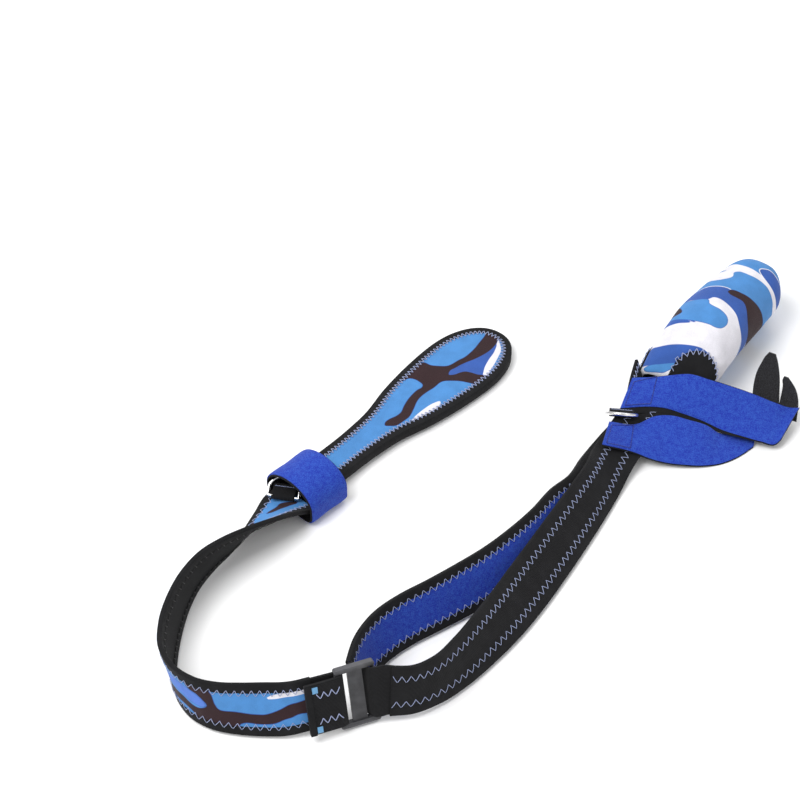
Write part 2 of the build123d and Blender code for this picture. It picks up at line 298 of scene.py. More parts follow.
@dataclass(frozen=True)
class WovenTape:
    """Black webbing or binding tape with ribs, painted shade in the troughs between the ribs, and random
    faded patches.
    """

    name: str
    ink: Ink = Ink.BLACK
    pitch: float = 1.1
    axis: str = "Y"
    depth: float = 0.22

    def dye(self) -> bpy.types.Material:
        """Builds the material."""
        g = Graph(self.name)
        rib = g.ribs(self.pitch, self.axis)
        fine = g.noise(0.5, 3.0)
        worn = g.ramp(g.noise(16, 3.0), 0.35, 0.75, 0.0, 0.35)
        # Rib crests are paler and troughs darker: painted shade of the ribs. The worn noise adds random
        # faded patches.
        lift = g.math("ADD", g.math("MULTIPLY", rib, 0.35), worn)
        base = self.ink.value
        # pale goes on rib crests and faded patches; the darker copy of the base goes in the rib troughs as
        # painted shade.
        pale = tuple(min(1.0, c * 1.9 + 0.003) for c in base[:3]) + (1.0,)
        colour = g.mix(lift, tuple(c * 0.75 for c in base[:3]) + (1.0,), pale)
        g.bump((rib, self.depth), (fine, 0.1))
        return g.surface(colour, 0.88, sheen=0.03, gloss=0.2)


@dataclass(frozen=True)
class LoopPile:
    """Brushed loop pile: short tangled loops, with painted shade in the gaps between the loops and between
    their rows.
    """

    name: str
    ink: Ink = Ink.PILE
    shade: Ink = Ink.PILE_PAINTED_SHADE
    loop: float = 0.9

    def dye(self) -> bpy.types.Material:
        """Builds the material."""
        g = Graph(self.name)
        loops = g.noise(self.loop, 4.0)
        clumps = g.noise(self.loop * 5, 3.0)
        rows = g.noise(1.6, 2.0, uv=True, stretch=(1.0, 0.35, 1.0))
        # Low loops and row troughs take the darker colour: painted shade in the gaps. The clumps add random
        # tone.
        share = g.ramp(g.math("ADD", loops, g.math("MULTIPLY", g.math("SUBTRACT", clumps, 0.5), 0.35)),
                       0.3, 0.66)
        share = g.math("MULTIPLY", share, g.ramp(rows, 0.2, 0.7, 0.72, 1.0))
        colour = g.mix(share, self.shade.value, self.ink.value)
        g.bump((loops, 0.55), (rows, 0.25))
        return g.surface(colour, 0.9, sheen=0.1, gloss=0.2)


@dataclass(frozen=True)
class HookTape:
    """Stiff tape set with rows of tiny hooks."""

    name: str

    def dye(self) -> bpy.types.Material:
        """Builds the material."""
        g = Graph(self.name)
        cells = g.tree.nodes.new("ShaderNodeTexVoronoi")
        cells.inputs["Scale"].default_value = UV_UNIT / 1.3
        cells.inputs["Randomness"].default_value = 0.35
        g.join(g.place(True), cells.inputs["Vector"])
        # Hook tops are painted a lighter grey: a painted highlight on each hook.
        hooks = g.ramp(cells.outputs["Distance"], 0.1, 0.6, 1.0, 0.0)
        colour = g.mix(hooks, Ink.BLACK_PILE.value, srgb(58, 58, 64))
        g.bump((hooks, 0.5), (g.noise(0.6), 0.1))
        return g.surface(colour, 0.7, sheen=0.05, gloss=0.35)


@dataclass(frozen=True)
class SewingThread:
    """Twisted thread."""

    name: str
    ink: Ink = Ink.THREAD

    def dye(self) -> bpy.types.Material:
        """Builds the material."""
        g = Graph(self.name)
        ply = g.ribs(0.9, "Y", 0.3)
        base = self.ink.value
        # Ply grooves get a darker copy of the thread colour: painted shade between the plies.
        colour = g.mix(g.ramp(ply, 0.1, 0.9), tuple(c * 0.72 for c in base[:3]) + (1.0,), base)
        g.bump((ply, 0.12), (g.noise(0.3), 0.05))
        return g.surface(colour, 0.62, sheen=0.2, gloss=0.4)


@dataclass(frozen=True)
class MouldedPlastic:
    """Charcoal nylon with a fine spark-eroded grain and a painted highlight along its sharp edges."""

    name: str

    def dye(self) -> bpy.types.Material:
        """Builds the material."""
        g = Graph(self.name)
        grain = g.noise(0.35, 3.0)
        cloud = g.noise(9, 3.0)
        geometry = g.tree.nodes.new("ShaderNodeNewGeometry")
        # Sharp convex edges are painted paler: a painted highlight along them. The cloud adds random tone.
        edge = g.ramp(geometry.outputs["Pointiness"], 0.52, 0.62, 0.0, 0.55)
        share = g.math("ADD", g.ramp(cloud, 0.3, 0.7, 0.0, 0.3), edge)
        colour = g.mix(share, Ink.CHARCOAL.value, srgb(84, 84, 88))
        g.bump((grain, 0.07), (cloud, 0.15))
        return g.surface(colour, 0.48, gloss=0.45)


@dataclass(frozen=True)
class NickelPlate:
    """Polished nickel plate with hairline scuffs."""

    name: str

    def dye(self) -> bpy.types.Material:
        """Builds the material."""
        g = Graph(self.name)
        scuff = g.noise(1.2, 4.0, stretch=(1, 1, 6))
        cloud = g.noise(7, 2.0)
        colour = g.mix(g.ramp(cloud, 0.3, 0.7), srgb(214, 214, 216), srgb(238, 236, 232))
        g.bump((scuff, 0.03))
        g.join(g.ramp(scuff, 0.3, 0.8, 0.14, 0.3), g.shader.inputs["Roughness"])
        return g.surface(colour, 0.2, metallic=1.0)


@dataclass(frozen=True)
class PrintLayer:
    """One colour of the camouflage print: closed outlines in millimetres on the cloth."""

    ink: Ink
    outlines: tuple[tuple[tuple[float, float], ...], ...]
    rim: float = 0.0
    rim_ink: Ink = Ink.PALE


@dataclass(frozen=True)
class PrintedKnit:
    """Smooth knit over foam with a camouflage print laid over a ground colour."""

    name: str
    layers: tuple[PrintLayer, ...]
    ground: Ink = Ink.SKY
    soft: float = 0.3

    def dye(self) -> bpy.types.Material:
        """Builds the material, which reads each layer's distance from the mesh."""
        g = Graph(self.name)
        colour: object = self.ground.value
        for number, layer in enumerate(self.layers):
            reach = g.attribute(f"print_{number}")
            if layer.rim:
                colour = g.mix(g.ramp(reach, layer.rim - self.soft, layer.rim + self.soft, 1.0, 0.0),
                               colour, layer.rim_ink.value)
            colour = g.mix(g.ramp(reach, -self.soft, self.soft, 1.0, 0.0), colour, layer.ink.value)
        knit = g.ribs(0.9, "X", 0.8)
        course = g.ribs(0.9, "Y", 0.8)
        cloud = g.noise(14, 3.0)
        fleck = g.noise(0.7, 3.0)
        tone = g.math("ADD", g.ramp(cloud, 0.25, 0.75, 0.86, 1.0), g.ramp(fleck, 0.3, 0.7, -0.05, 0.05))
        shade = g.tree.nodes.new("ShaderNodeVectorMath")
        shade.operation = "SCALE"
        g.feed(shade, 0, colour)
        g.feed(shade, "Scale", tone)
        g.bump((g.math("MULTIPLY", knit, course), 0.12), (cloud, 0.5), (fleck, 0.06))
        return g.surface(shade.outputs[0], 0.8, sheen=0.06, gloss=0.25)

    def lay_on(self, piece: bpy.types.Object, flat: Array) -> None:
        """Writes each print layer's distance on the mesh's points.

        Args:
            piece: the cloth.
            flat: each point's place on the cloth, in millimetres.
        """
        for number, layer in enumerate(self.layers):
            reach = np.full(len(flat), 1e3)
            for outline in layer.outlines:
                reach = np.minimum(reach, distance_to(flat, round_outline(outline)))
            store = piece.data.attributes.new(f"print_{number}", "FLOAT", "POINT")
            store.data.foreach_set("value", reach.astype(np.float32))


Finish = WovenTape | LoopPile | HookTape | SewingThread | MouldedPlastic | NickelPlate | PrintedKnit


def round_outline(outline: Sequence[tuple[float, float]], steps: int = 6) -> Array:
    """A smooth closed line through an outline's points.

    Args:
        outline: its corners in order.
        steps: points from corner to corner.

    Returns:
        (n, 2) points.
    """
    points = np.array(outline, float)
    count = len(points)
    made = []
    for i in range(count):
        a, b, c, d = (points[(i + k) % count] for k in (-1, 0, 1, 2))
        for t in np.arange(steps) / steps:
            made.append(0.5 * (2 * b + (c - a) * t + (2 * a - 5 * b + 4 * c - d) * t * t
                               + (3 * b - a - 3 * c + d) * t ** 3))
    return np.array(made)


def distance_to(places: Array, loop: Array) -> Array:
    """Signed distance from places to a closed line, negative inside it.

    Args:
        places: (n, 2) points.
        loop: (m, 2) corners.

    Returns:
        n distances.
    """
    best = np.full(len(places), 1e9)
    inside = np.zeros(len(places), bool)
    for a, b in zip(loop, np.roll(loop, -1, axis=0)):
        run = b - a
        share = np.clip(((places - a) @ run) / max(run @ run, 1e-9), 0, 1)
        gap = places - a - share[:, None] * run
        best = np.minimum(best, (gap ** 2).sum(1))
        crosses = (a[1] > places[:, 1]) != (b[1] > places[:, 1])
        rise = run[1] if abs(run[1]) > 1e-9 else 1e-9
        inside ^= crosses & (places[:, 0] < run[0] * (places[:, 1] - a[1]) / rise + a[0])
    return np.sqrt(best) * np.where(inside, -1, 1)


# ---------------------------------------------------------------- meshes


def unit(vectors: Array) -> Array:
    """Vectors of length one."""
    return vectors / np.maximum(np.linalg.norm(vectors, axis=-1, keepdims=True), 1e-9)


def gone_along(line: Array) -> Array:
    """Distance along a line at each of its points."""
    return np.concatenate([[0], np.cumsum(np.linalg.norm(np.diff(line, axis=0), axis=1))])


def eased(t: Array, gap: Array, ends: tuple[Array, Array], slopes: tuple[Array, Array]) -> Array:
    """A cubic that leaves one value and reaches the next with given slopes.

    Args:
        t: share of the way, 0 to 1.
        gap: length of the stretch.
        ends: the values at its start and end.
        slopes: the slopes there.

    Returns:
        The values on the way.
    """
    return ((2 * t ** 3 - 3 * t ** 2 + 1) * ends[0] + (t ** 3 - 2 * t ** 2 + t) * gap * slopes[0]
            + (3 * t ** 2 - 2 * t ** 3) * ends[1] + (t ** 3 - t ** 2) * gap * slopes[1])


def cloth_mesh(name: str, points: Array, faces: list[tuple[int, ...]],
               uv: list[tuple[float, float]], crease: float = 50.0) -> bpy.types.Object:
    """Makes an object from points in millimetres.

    Args:
        name: the piece's name.
        points: (n, 3) in millimetres, in the part's frame.
        faces: corners of each face.
        uv: one entry for each face corner, in millimetres of cloth.
        crease: angle in degrees beyond which an edge is sharp.

    Returns:
        The object.
    """
    mesh = bpy.data.meshes.new(name)
    mesh.from_pydata((points * MM).tolist(), [], faces)
    layer = mesh.uv_layers.new(name="cloth")
    layer.data.foreach_set("uv", (np.array(uv, np.float32) / UV_UNIT).ravel())
    work = bmesh.new()
    work.from_mesh(mesh)
    bmesh.ops.recalc_face_normals(work, faces=work.faces)
    work.to_mesh(mesh)
    work.free()
    mesh.polygons.foreach_set("use_smooth", [True] * len(mesh.polygons))
    mesh.set_sharp_from_angle(angle=math.radians(crease))
    piece = bpy.data.objects.new(name, mesh)
    bpy.context.scene.collection.objects.link(piece)
    return piece


def swept(name: str, rings: Array, around: Array, along: Array, crease: float = 50.0) -> bpy.types.Object:
    """Skins closed rings into a solid with flat ends.

    Args:
        name: the piece's name.
        rings: (n, k, 3) points, ring after ring.
        around: k + 1 distances round a ring.
        along: n distances from ring to ring.
        crease: angle beyond which an edge is sharp.

    Returns:
        The object.
    """
    count, sides = rings.shape[:2]
    faces: list[tuple[int, ...]] = []
    uv: list[tuple[float, float]] = []
    for i in range(count - 1):
        for j in range(sides):
            k = (j + 1) % sides
            faces.append((i * sides + j, i * sides + k, (i + 1) * sides + k, (i + 1) * sides + j))
            uv += [(around[j], along[i]), (around[j + 1], along[i]),
                   (around[j + 1], along[i + 1]), (around[j], along[i + 1])]
    for i in (0, count - 1):
        faces.append(tuple(range(i * sides, (i + 1) * sides)))
        uv += [(around[j], along[i]) for j in range(sides)]
    return cloth_mesh(name, rings.reshape(-1, 3), faces, uv, crease)


def thread_mesh(name: str, runs: Sequence[tuple[Array, Array]], radius: float) -> bpy.types.Object:
    """Threads as thin five-sided tubes, joined in one piece.

    Args:
        name: the piece's name.
        runs: for each thread its points and the cloth's normals there.
        radius: of the thread, in millimetres.

    Returns:
        The object.
    """
    points: list[Array] = []
    faces: list[tuple[int, ...]] = []
    uv: list[tuple[float, float]] = []
    sides = 5
    first = 0
    for line, normals in runs:
        ahead = unit(np.gradient(line, axis=0))
        out = unit(normals - (normals * ahead).sum(1)[:, None] * ahead)
        side = np.cross(ahead, out)
        turn = 2 * np.pi * np.arange(sides) / sides
        ring = (out[:, None] * np.cos(turn)[None, :, None] + side[:, None] * np.sin(turn)[None, :, None])
        points.append((line[:, None] + ring * radius).reshape(-1, 3))
        reach = gone_along(line)
        for i in range(len(line) - 1):
            for j in range(sides):
                k = (j + 1) % sides
                a, b = first + i * sides, first + (i + 1) * sides
                faces.append((a + j, a + k, b + k, b + j))
                uv += [(j, reach[i]), (j + 1, reach[i]), (j + 1, reach[i + 1]), (j, reach[i + 1])]
        for i in (0, len(line) - 1):
            faces.append(tuple(first + i * sides + j for j in range(sides)))
            uv += [(j, reach[i]) for j in range(sides)]
        first += len(line) * sides
    return cloth_mesh(name, np.vstack(points), faces, uv, 80.0)


def dress(piece: bpy.types.Object, material: bpy.types.Material,
          nodes: Sequence[str] = ()) -> bpy.types.Object:
    """Gives a piece its finish and hides the CAD nodes that it stands for.

    Args:
        piece: the piece.
        material: its finish.
        nodes: CAD nodes that it replaces.

    Returns:
        The piece.
    """
    piece.data.materials.clear()
    piece.data.materials.append(material)
    if nodes:
        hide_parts(*nodes)
    log.info("%s: %d faces", piece.name, len(piece.data.polygons))
    return piece


def refinish(node: str, material: bpy.types.Material) -> None:
    """Gives a CAD node that stays a better material.

    Args:
        node: its name.
        material: its finish.
    """
    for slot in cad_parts[node].material_slots:
        slot.material = material
    log.info("%s: %s", node, material.name)


class Course:
    """A strip's run, smoothed through its stations and read by distance along it."""

    def __init__(self, pairs: Sequence[Pair] | Array, step: float = 1.5, moved: bool = True) -> None:
        """Smooths the edges and finds the directions along, across and outwards.

        Args:
            pairs: low and high edge at each station.
            step: spacing of the smoothed stations.
            moved: whether the pairs are given about the layout's working point.
        """
        stops = np.array(pairs, float).reshape(-1, 6)
        if moved:
            stops = stops + np.tile(LAYOUT, 2)
        centre = (stops[:, :3] + stops[:, 3:]) / 2
        knots = gone_along(centre)
        dense = np.linspace(0, knots[-1], max(int(knots[-1] / step), 4) + 1)
        slope = np.gradient(stops, knots, axis=0, edge_order=1)
        i = np.clip(np.searchsorted(knots, dense, "right") - 1, 0, len(knots) - 2)
        gap = (knots[i + 1] - knots[i])[:, None]
        t = ((dense - knots[i])[:, None]) / gap
        curve = eased(t, gap, (stops[i], stops[i + 1]), (slope[i], slope[i + 1]))
        self.low, high = curve[:, :3], curve[:, 3:]
        middle = (self.low + high) / 2
        self.reach = gone_along(middle)
        self.length = float(self.reach[-1])
        self.widths = np.linalg.norm(high - self.low, axis=1)
        self.across = unit(high - self.low)
        ahead = unit(np.gradient(middle, axis=0))
        self.out = unit(np.cross(ahead, self.across))

    def read(self, table: Array, s: Array) -> Array:
        """Reads one of the run's tables at distances along it.

        Args:
            table: one entry for each smoothed station.
            s: the distances.

        Returns:
            The table's values there.
        """
        if table.ndim == 1:
            return np.interp(s, self.reach, table)
        return np.stack([np.interp(s, self.reach, table[:, c]) for c in range(3)], axis=-1)

    def width(self, s: Array) -> Array:
        """The strip's width."""
        return self.read(self.widths, s)

    def put(self, s: Array, u: Array, h: Array) -> Array:
        """Points on or near the strip.

        Args:
            s: distance along it.
            u: distance from its low edge.
            h: height off its middle surface.

        Returns:
            Points in millimetres.
        """
        s, u, h = np.broadcast_arrays(s, u, h)
        across, out = unit(self.read(self.across, s)), unit(self.read(self.out, s))
        return self.read(self.low, s) + across * u[..., None] + out * h[..., None]

    def stops(self, step: float, start: float = 0.0, end: float | None = None) -> Array:
        """Evenly spaced distances along the run.

        Args:
            step: their spacing.
            start, end: the part of the run that they cover.

        Returns:
            The distances.
        """
        end = self.length if end is None else end
        return np.linspace(start, end, max(int((end - start) / step), 2) + 1)

    def slab(self, name: str, inset: float, low: float, high: float, crown: float = 0.0,
             step: float = 2.0, start: float = 0.0, end: float | None = None,
             pucker: float = 0.0) -> tuple[bpy.types.Object, Array]:
        """A layer of the strip with rounded edges.

        Args:
            name: the piece's name.
            inset: how far inside the strip's edges it stops.
            low, high: heights of its two faces.
            crown: how far its outer face swells in the middle.
            step: mesh spacing.
            start, end: the part of the run that it covers.
            pucker: depth of soft waves along it.

        Returns:
            The object, and each point's place on the cloth.
        """
        s = self.stops(step, start, end)
        width = self.width(s)
        cells = max(int((width.max() - 2 * inset) / step), 6)
        x = np.linspace(0, 1, cells + 1)
        lip = min(0.35, 0.4 * (high - low))
        top = high + crown * (1 - (2 * x - 1) ** 4)
        top[0], top[-1] = high - lip, high - lip
        bottom = np.full_like(x, low)
        bottom[0], bottom[-1] = low + lip * 0.5, low + lip * 0.5
        shares = np.concatenate([x, x[::-1]])
        heights = np.concatenate([top, bottom])
        wave = pucker * (np.sin(s * 0.21) + 0.6 * np.sin(s * 0.47 + 1.3))[:, None]
        u = inset + shares[None, :] * (width - 2 * inset)[:, None]
        swell = np.where(np.arange(len(shares)) <= cells, 1.0, 0.0)[None, :]
        h = heights[None, :] + wave * swell * (1 - (2 * shares - 1) ** 2)[None, :]
        rings = self.put(np.repeat(s[:, None], len(shares), 1), u, h)
        across = np.concatenate([x, 2 - x[::-1], [2.0]]) * (width.max() - 2 * inset) + inset
        piece = swept(name, rings, across, s)
        flat = np.stack([u - width[:, None] / 2, np.repeat(s[:, None], len(shares), 1)], -1)
        return piece, flat.reshape(-1, 2)

    def hem(self, name: str, upper: bool, thick: float, width: float = 9.0, tape: float = 0.7,
            step: float = 2.0, start: float = 0.0, end: float | None = None,
            middle: float = 0.0) -> bpy.types.Object:
        """A binding tape folded over one edge.

        Args:
            name: the piece's name.
            upper: whether it is the high edge.
            thick: thickness over the tape.
            width: how far the tape reaches in.
            tape: the tape's own thickness.
            step: mesh spacing.
            start, end: the part of the run that it covers.
            middle: height of the fold's middle.

        Returns:
            The object.
        """
        s = self.stops(step, start, end)
        half = thick / 2
        turn = min(1.0, half * 0.8)
        arc = np.linspace(math.pi / 2, -math.pi / 2, 7)
        outer = [(width, half - 0.15), (width - 0.8, half), (width * 0.55, half + 0.12)]
        outer += [(turn - turn * math.cos(a), (half - turn) * np.sign(a) + turn * math.sin(a)) for a in arc]
        outer += [(width * 0.55, -half - 0.12), (width - 0.8, -half), (width, 0.15 - half)]
        inner = [(width, tape - half), (tape, tape - half), (tape, half - tape), (width, half - tape)]
        section = np.array(outer + inner)
        section[:, 1] += middle
        fray = 0.18 * np.sin(s * 0.8) + 0.12 * np.sin(s * 2.1 + 0.7)
        inward = section[None, :, 0] + fray[:, None] * (section[None, :, 0] > width - 1)
        u = self.width(s)[:, None] - inward if upper else inward
        rings = self.put(np.repeat(s[:, None], len(section), 1), u,
                         np.repeat(section[None, :, 1], len(s), 0))
        loop = np.vstack([section, section[:1]])
        around = gone_along(loop)
        return swept(name, rings, around, s, 60.0)

    def zigzag(self, inward: float, upper: bool, reach: float, pitch: float, height: float,
               start: float = 1.0, end: float | None = None) -> tuple[Array, Array]:
        """A row of zigzag stitches beside one edge.

        Args:
            inward: the row's middle, from the edge.
            upper: whether that is the high edge.
            reach: the row's full width.
            pitch: one full zig and zag.
            height: of the surface that it lies on; negative for the back.
            start, end: the part of the run that it covers.

        Returns:
            The thread's points and the cloth's normals there.
        """
        end = self.length - 1.0 if end is None else end
        count = max(int((end - start) / (pitch / 2)), 1)
        holes = start + np.arange(count + 1) * pitch / 2
        sides = np.where(np.arange(count + 1) % 2 == 0, -0.5, 0.5) * reach
        share = np.array([0.0, 0.12, 0.5, 0.88])
        lift = np.array([-0.35, 0.2, 0.45, 0.2])
        s = (holes[:-1, None] + (holes[1:] - holes[:-1])[:, None] * share).ravel()
        u = (sides[:-1, None] + (sides[1:] - sides[:-1])[:, None] * share).ravel() + inward
        h = np.tile(lift, count)
        face = 1.0 if height >= 0 else -1.0
        u = self.width(s) - u if upper else u
        return self.put(s, u, height + face * h), unit(self.read(self.out, s)) * face

    def run_stitch(self, corners: Sequence[tuple[float, float]], height: float,
                   stitch: float = 2.6) -> tuple[Array, Array]:
        """A line of straight stitches through corners.

        Args:
            corners: (along, across) places on the strip.
            height: of the surface.
            stitch: length of one stitch.

        Returns:
            The thread's points and the cloth's normals there.
        """
        face = 1.0 if height >= 0 else -1.0
        s, u, h = [], [], []
        for (s0, u0), (s1, u1) in zip(corners, corners[1:]):
            count = max(int(math.hypot(s1 - s0, u1 - u0) / stitch), 1)
            for i in range(count):
                for share, lift in ((0.0, -0.3), (0.2, 0.12), (0.5, 0.28), (0.8, 0.12)):
                    t = (i + share) / count
                    s.append(s0 + (s1 - s0) * t)
                    u.append(u0 + (u1 - u0) * t)
                    h.append(height + face * lift)
        s_, u_, h_ = np.array(s), np.array(u), np.array(h)
        return self.put(s_, u_, h_), unit(self.read(self.out, s_)) * face


def leaning(route: Sequence[Sequence[float]], usual: float = 50.0) -> list[Pair]:
    """Edge points from stations of low edge and lean.

    Args:
        route: x, y, z of the low edge, lean above the horizontal to the left of travel in
            degrees, and the width where it isn't the usual one.
        usual: the usual width.

    Returns:
        Low and high edge at each station, about the layout's working point.
    """
    lows = np.array([stop[:3] for stop in route], float)
    pairs = []
    for i, stop in enumerate(route):
        ahead = unit(lows[min(i + 1, len(lows) - 1)] - lows[max(i - 1, 0)])
        left = unit(np.cross((0, 0, 1), ahead))
        up = np.cross(ahead, left)
        lean = math.radians(stop[3])
        width = stop[4] if len(stop) > 4 else usual
        high = lows[i] + (left * math.cos(lean) + up * math.sin(lean)) * width
        pairs.append((tuple(lows[i]), tuple(high)))
    return pairs


# ---------------------------------------------------------------- finishes

WEBBING = WovenTape("black_ribbed_webbing", pitch=1.3, axis="X", depth=0.3)
BINDING = WovenTape("black_binding_tape", pitch=0.9, axis="Y", depth=0.16)
INNER_KNIT = WovenTape("black_knit", pitch=0.8, axis="Y", depth=0.1)
PILE = LoopPile("blue_loop_pile")
HOOKS = HookTape("black_hook_tape")
THREAD = SewingThread("pale_thread")
BLUE_THREAD = SewingThread("blue_thread", Ink.BLUE_THREAD)
SKY_THREAD = SewingThread("sky_thread", Ink.SKY_THREAD)
DARK_THREAD = SewingThread("dark_thread", Ink.BLACK)
PLASTIC = MouldedPlastic("charcoal_nylon")
NICKEL = NickelPlate("nickel_plate")


class Finishes:
    """Materials made once and shared."""

    def __init__(self) -> None:
        """Starts with none made."""
        self.made: dict[str, bpy.types.Material] = {}

    def of(self, finish: Finish) -> bpy.types.Material:
        """The material of a finish, dyed the first time that it is asked for."""
        if finish.name not in self.made:
            self.made[finish.name] = finish.dye()
        return self.made[finish.name]


@dataclass
class Ribbon:
    """A flat strap with an outer face, an inner face, bound edges and zigzag rows."""

    name: str
    route: Sequence[Sequence[float]]
    outer: Finish
    inner: Finish
    outer_nodes: tuple[str, ...]
    inner_nodes: tuple[str, ...]
    binding_node: str
    outer_slot: str
    inner_slot: str
    inset: float = 0.8
    skin: float = 1.5
    over_bindings: float = 4.5
    binding: float = 9.0
    zigzag_reach: float = 6.5
    zigzag_pitch: float = 8.0
    outer_row: float = 12.0
    inner_row: float = 9.5
    crown: float = 0.7
    thread: float = 0.3
    inner_thread: Finish = THREAD

    def build(self, finishes: Finishes) -> Course:
        """Builds and dresses the strap.

        Args:
            finishes: the shared materials.

        Returns:
            The strap's run.
        """
        course = Course(leaning(self.route))
        faces = (
            (self.outer, 0.05, self.skin, self.crown, self.outer_nodes, self.outer_slot, "outer"),
            (self.inner, -self.skin, -0.05, 0.0, self.inner_nodes, self.inner_slot, "inner"),
        )
        for finish, low, high, crown, nodes, slot, word in faces:
            piece, flat = course.slab(f"{self.name}_{word}_face", self.inset, low, high, crown,
                                      pucker=0.15)
            if isinstance(finish, PrintedKnit):
                finish.lay_on(piece, flat)
            dress(piece, finishes.of(finish), nodes)
            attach(piece, "strap")
        for upper in (False, True):
            side = "high" if upper else "low"
            hem = course.hem(f"{self.name}_{side}_binding", upper, self.over_bindings, self.binding)
            dress(hem, finishes.of(BINDING), (self.binding_node,))
            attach(hem, "strap")
        top = self.over_bindings / 2
        height = top + 0.05 if self.outer_row < self.binding else self.skin + self.crown
        for row, level, finish, word in (
            (self.outer_row, height, THREAD, "outer"),
            (self.inner_row, -top, self.inner_thread, "inner"),
        ):
            runs = [course.zigzag(row, upper, self.zigzag_reach, self.zigzag_pitch, level)
                    for upper in (False, True)]
            seams = thread_mesh(f"{self.name}_{word}_zigzag", runs, self.thread)
            dress(seams, finishes.of(finish))
            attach(seams, "strap")
        return course


@dataclass
class RodWrap:
    """A hook-and-loop wrap: sewn base and free flap in one strip, and its hook tail."""

    name: str
    stations: Sequence[Pair]
    tail: Sequence[tuple[Point, float]]
    tail_across: Point = (0.87, -0.5, 0.0)
    thick: float = 2.0
    pile_inset: float = 0.9
    box: tuple[float, float, float, float] = (3.5, 26.5, 3.5, 3.5)
    skirt: float = 0.0

    def build(self, finishes: Finishes) -> Course:
        """Builds the wrap's layers, its box stitch and its hook tail.

        Args:
            finishes: the shared materials.

        Returns:
            The wrap's run.
        """
        course = Course(self.stations)
        layers = (
            ("backing", 0.0, -self.thick, -1.0, 0.0, INNER_KNIT, "black_webbing", ()),
            ("pile", self.pile_inset, -0.98, 0.0, 0.35, PILE, "blue_loop_pile",
             (f"{self.name}_base", f"{self.name}_flap")),
        )
        for word, inset, low, high, crown, finish, slot, nodes in layers:
            run = self.skirted() if word == "backing" and self.skirt else course
            piece, _ = run.slab(f"{self.name}_{word}", inset, low, high, crown, step=1.6, pucker=0.12)
            dress(piece, finishes.of(finish), nodes)
            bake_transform(piece)
        width = float(course.width(np.array([10.0]))[0])
        self.add_stitches(course, finishes)
        self.add_tail(finishes)
        return course

    def skirted(self) -> Course:
        """The wrap's run with its low edge let out, for the wider backing."""
        pairs = []
        for number, (low, high) in enumerate(self.stations):
            out = unit(np.array(low, float) - np.array(high)) * self.skirt
            share = min(1.0, max(0.0, 1.6 - 0.25 * number))
            pairs.append((tuple(np.array(low) + out * share), high))
        return Course(pairs)

    def add_stitches(self, course: Course, finishes: Finishes) -> None:
        """Sews the box on the base.

        Args:
            course: the wrap's run.
            finishes: the shared materials.
        """
        start, end, near, far = self.box
        width = float(course.width(np.array([15.0]))[0])
        box = [(start, near), (end, near), (end, width - far), (start, width - far), (start, near)]
        piece = thread_mesh(f"{self.name}_box_stitch", [course.run_stitch(box, 0.25)], 0.5)
        dress(piece, finishes.of(BLUE_THREAD))
        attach(piece, "strap")

    def add_tail(self, finishes: Finishes) -> None:
        """Builds the stiff hook tail at the flap's end."""
        across = unit(np.array(self.tail_across))
        pairs = [(tuple(np.array(p) - across * half), tuple(np.array(p) + across * half))
                 for p, half in self.tail]
        course = Course(pairs)
        piece, _ = course.slab(f"{self.name}_hook_tail", 0.0, -0.8, 0.8, 0.1, step=1.5)
        dress(piece, finishes.of(HOOKS), (f"{self.name}_hook",))
        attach(piece, self.name)
        edge = [(1.0, 1.4), (course.length - 2.0, 0.9)]
        runs = [course.run_stitch(edge, 0.9)]
        line = thread_mesh(f"{self.name}_tail_stitch", runs, 0.3)
        dress(line, finishes.of(THREAD))
        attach(line, self.name)


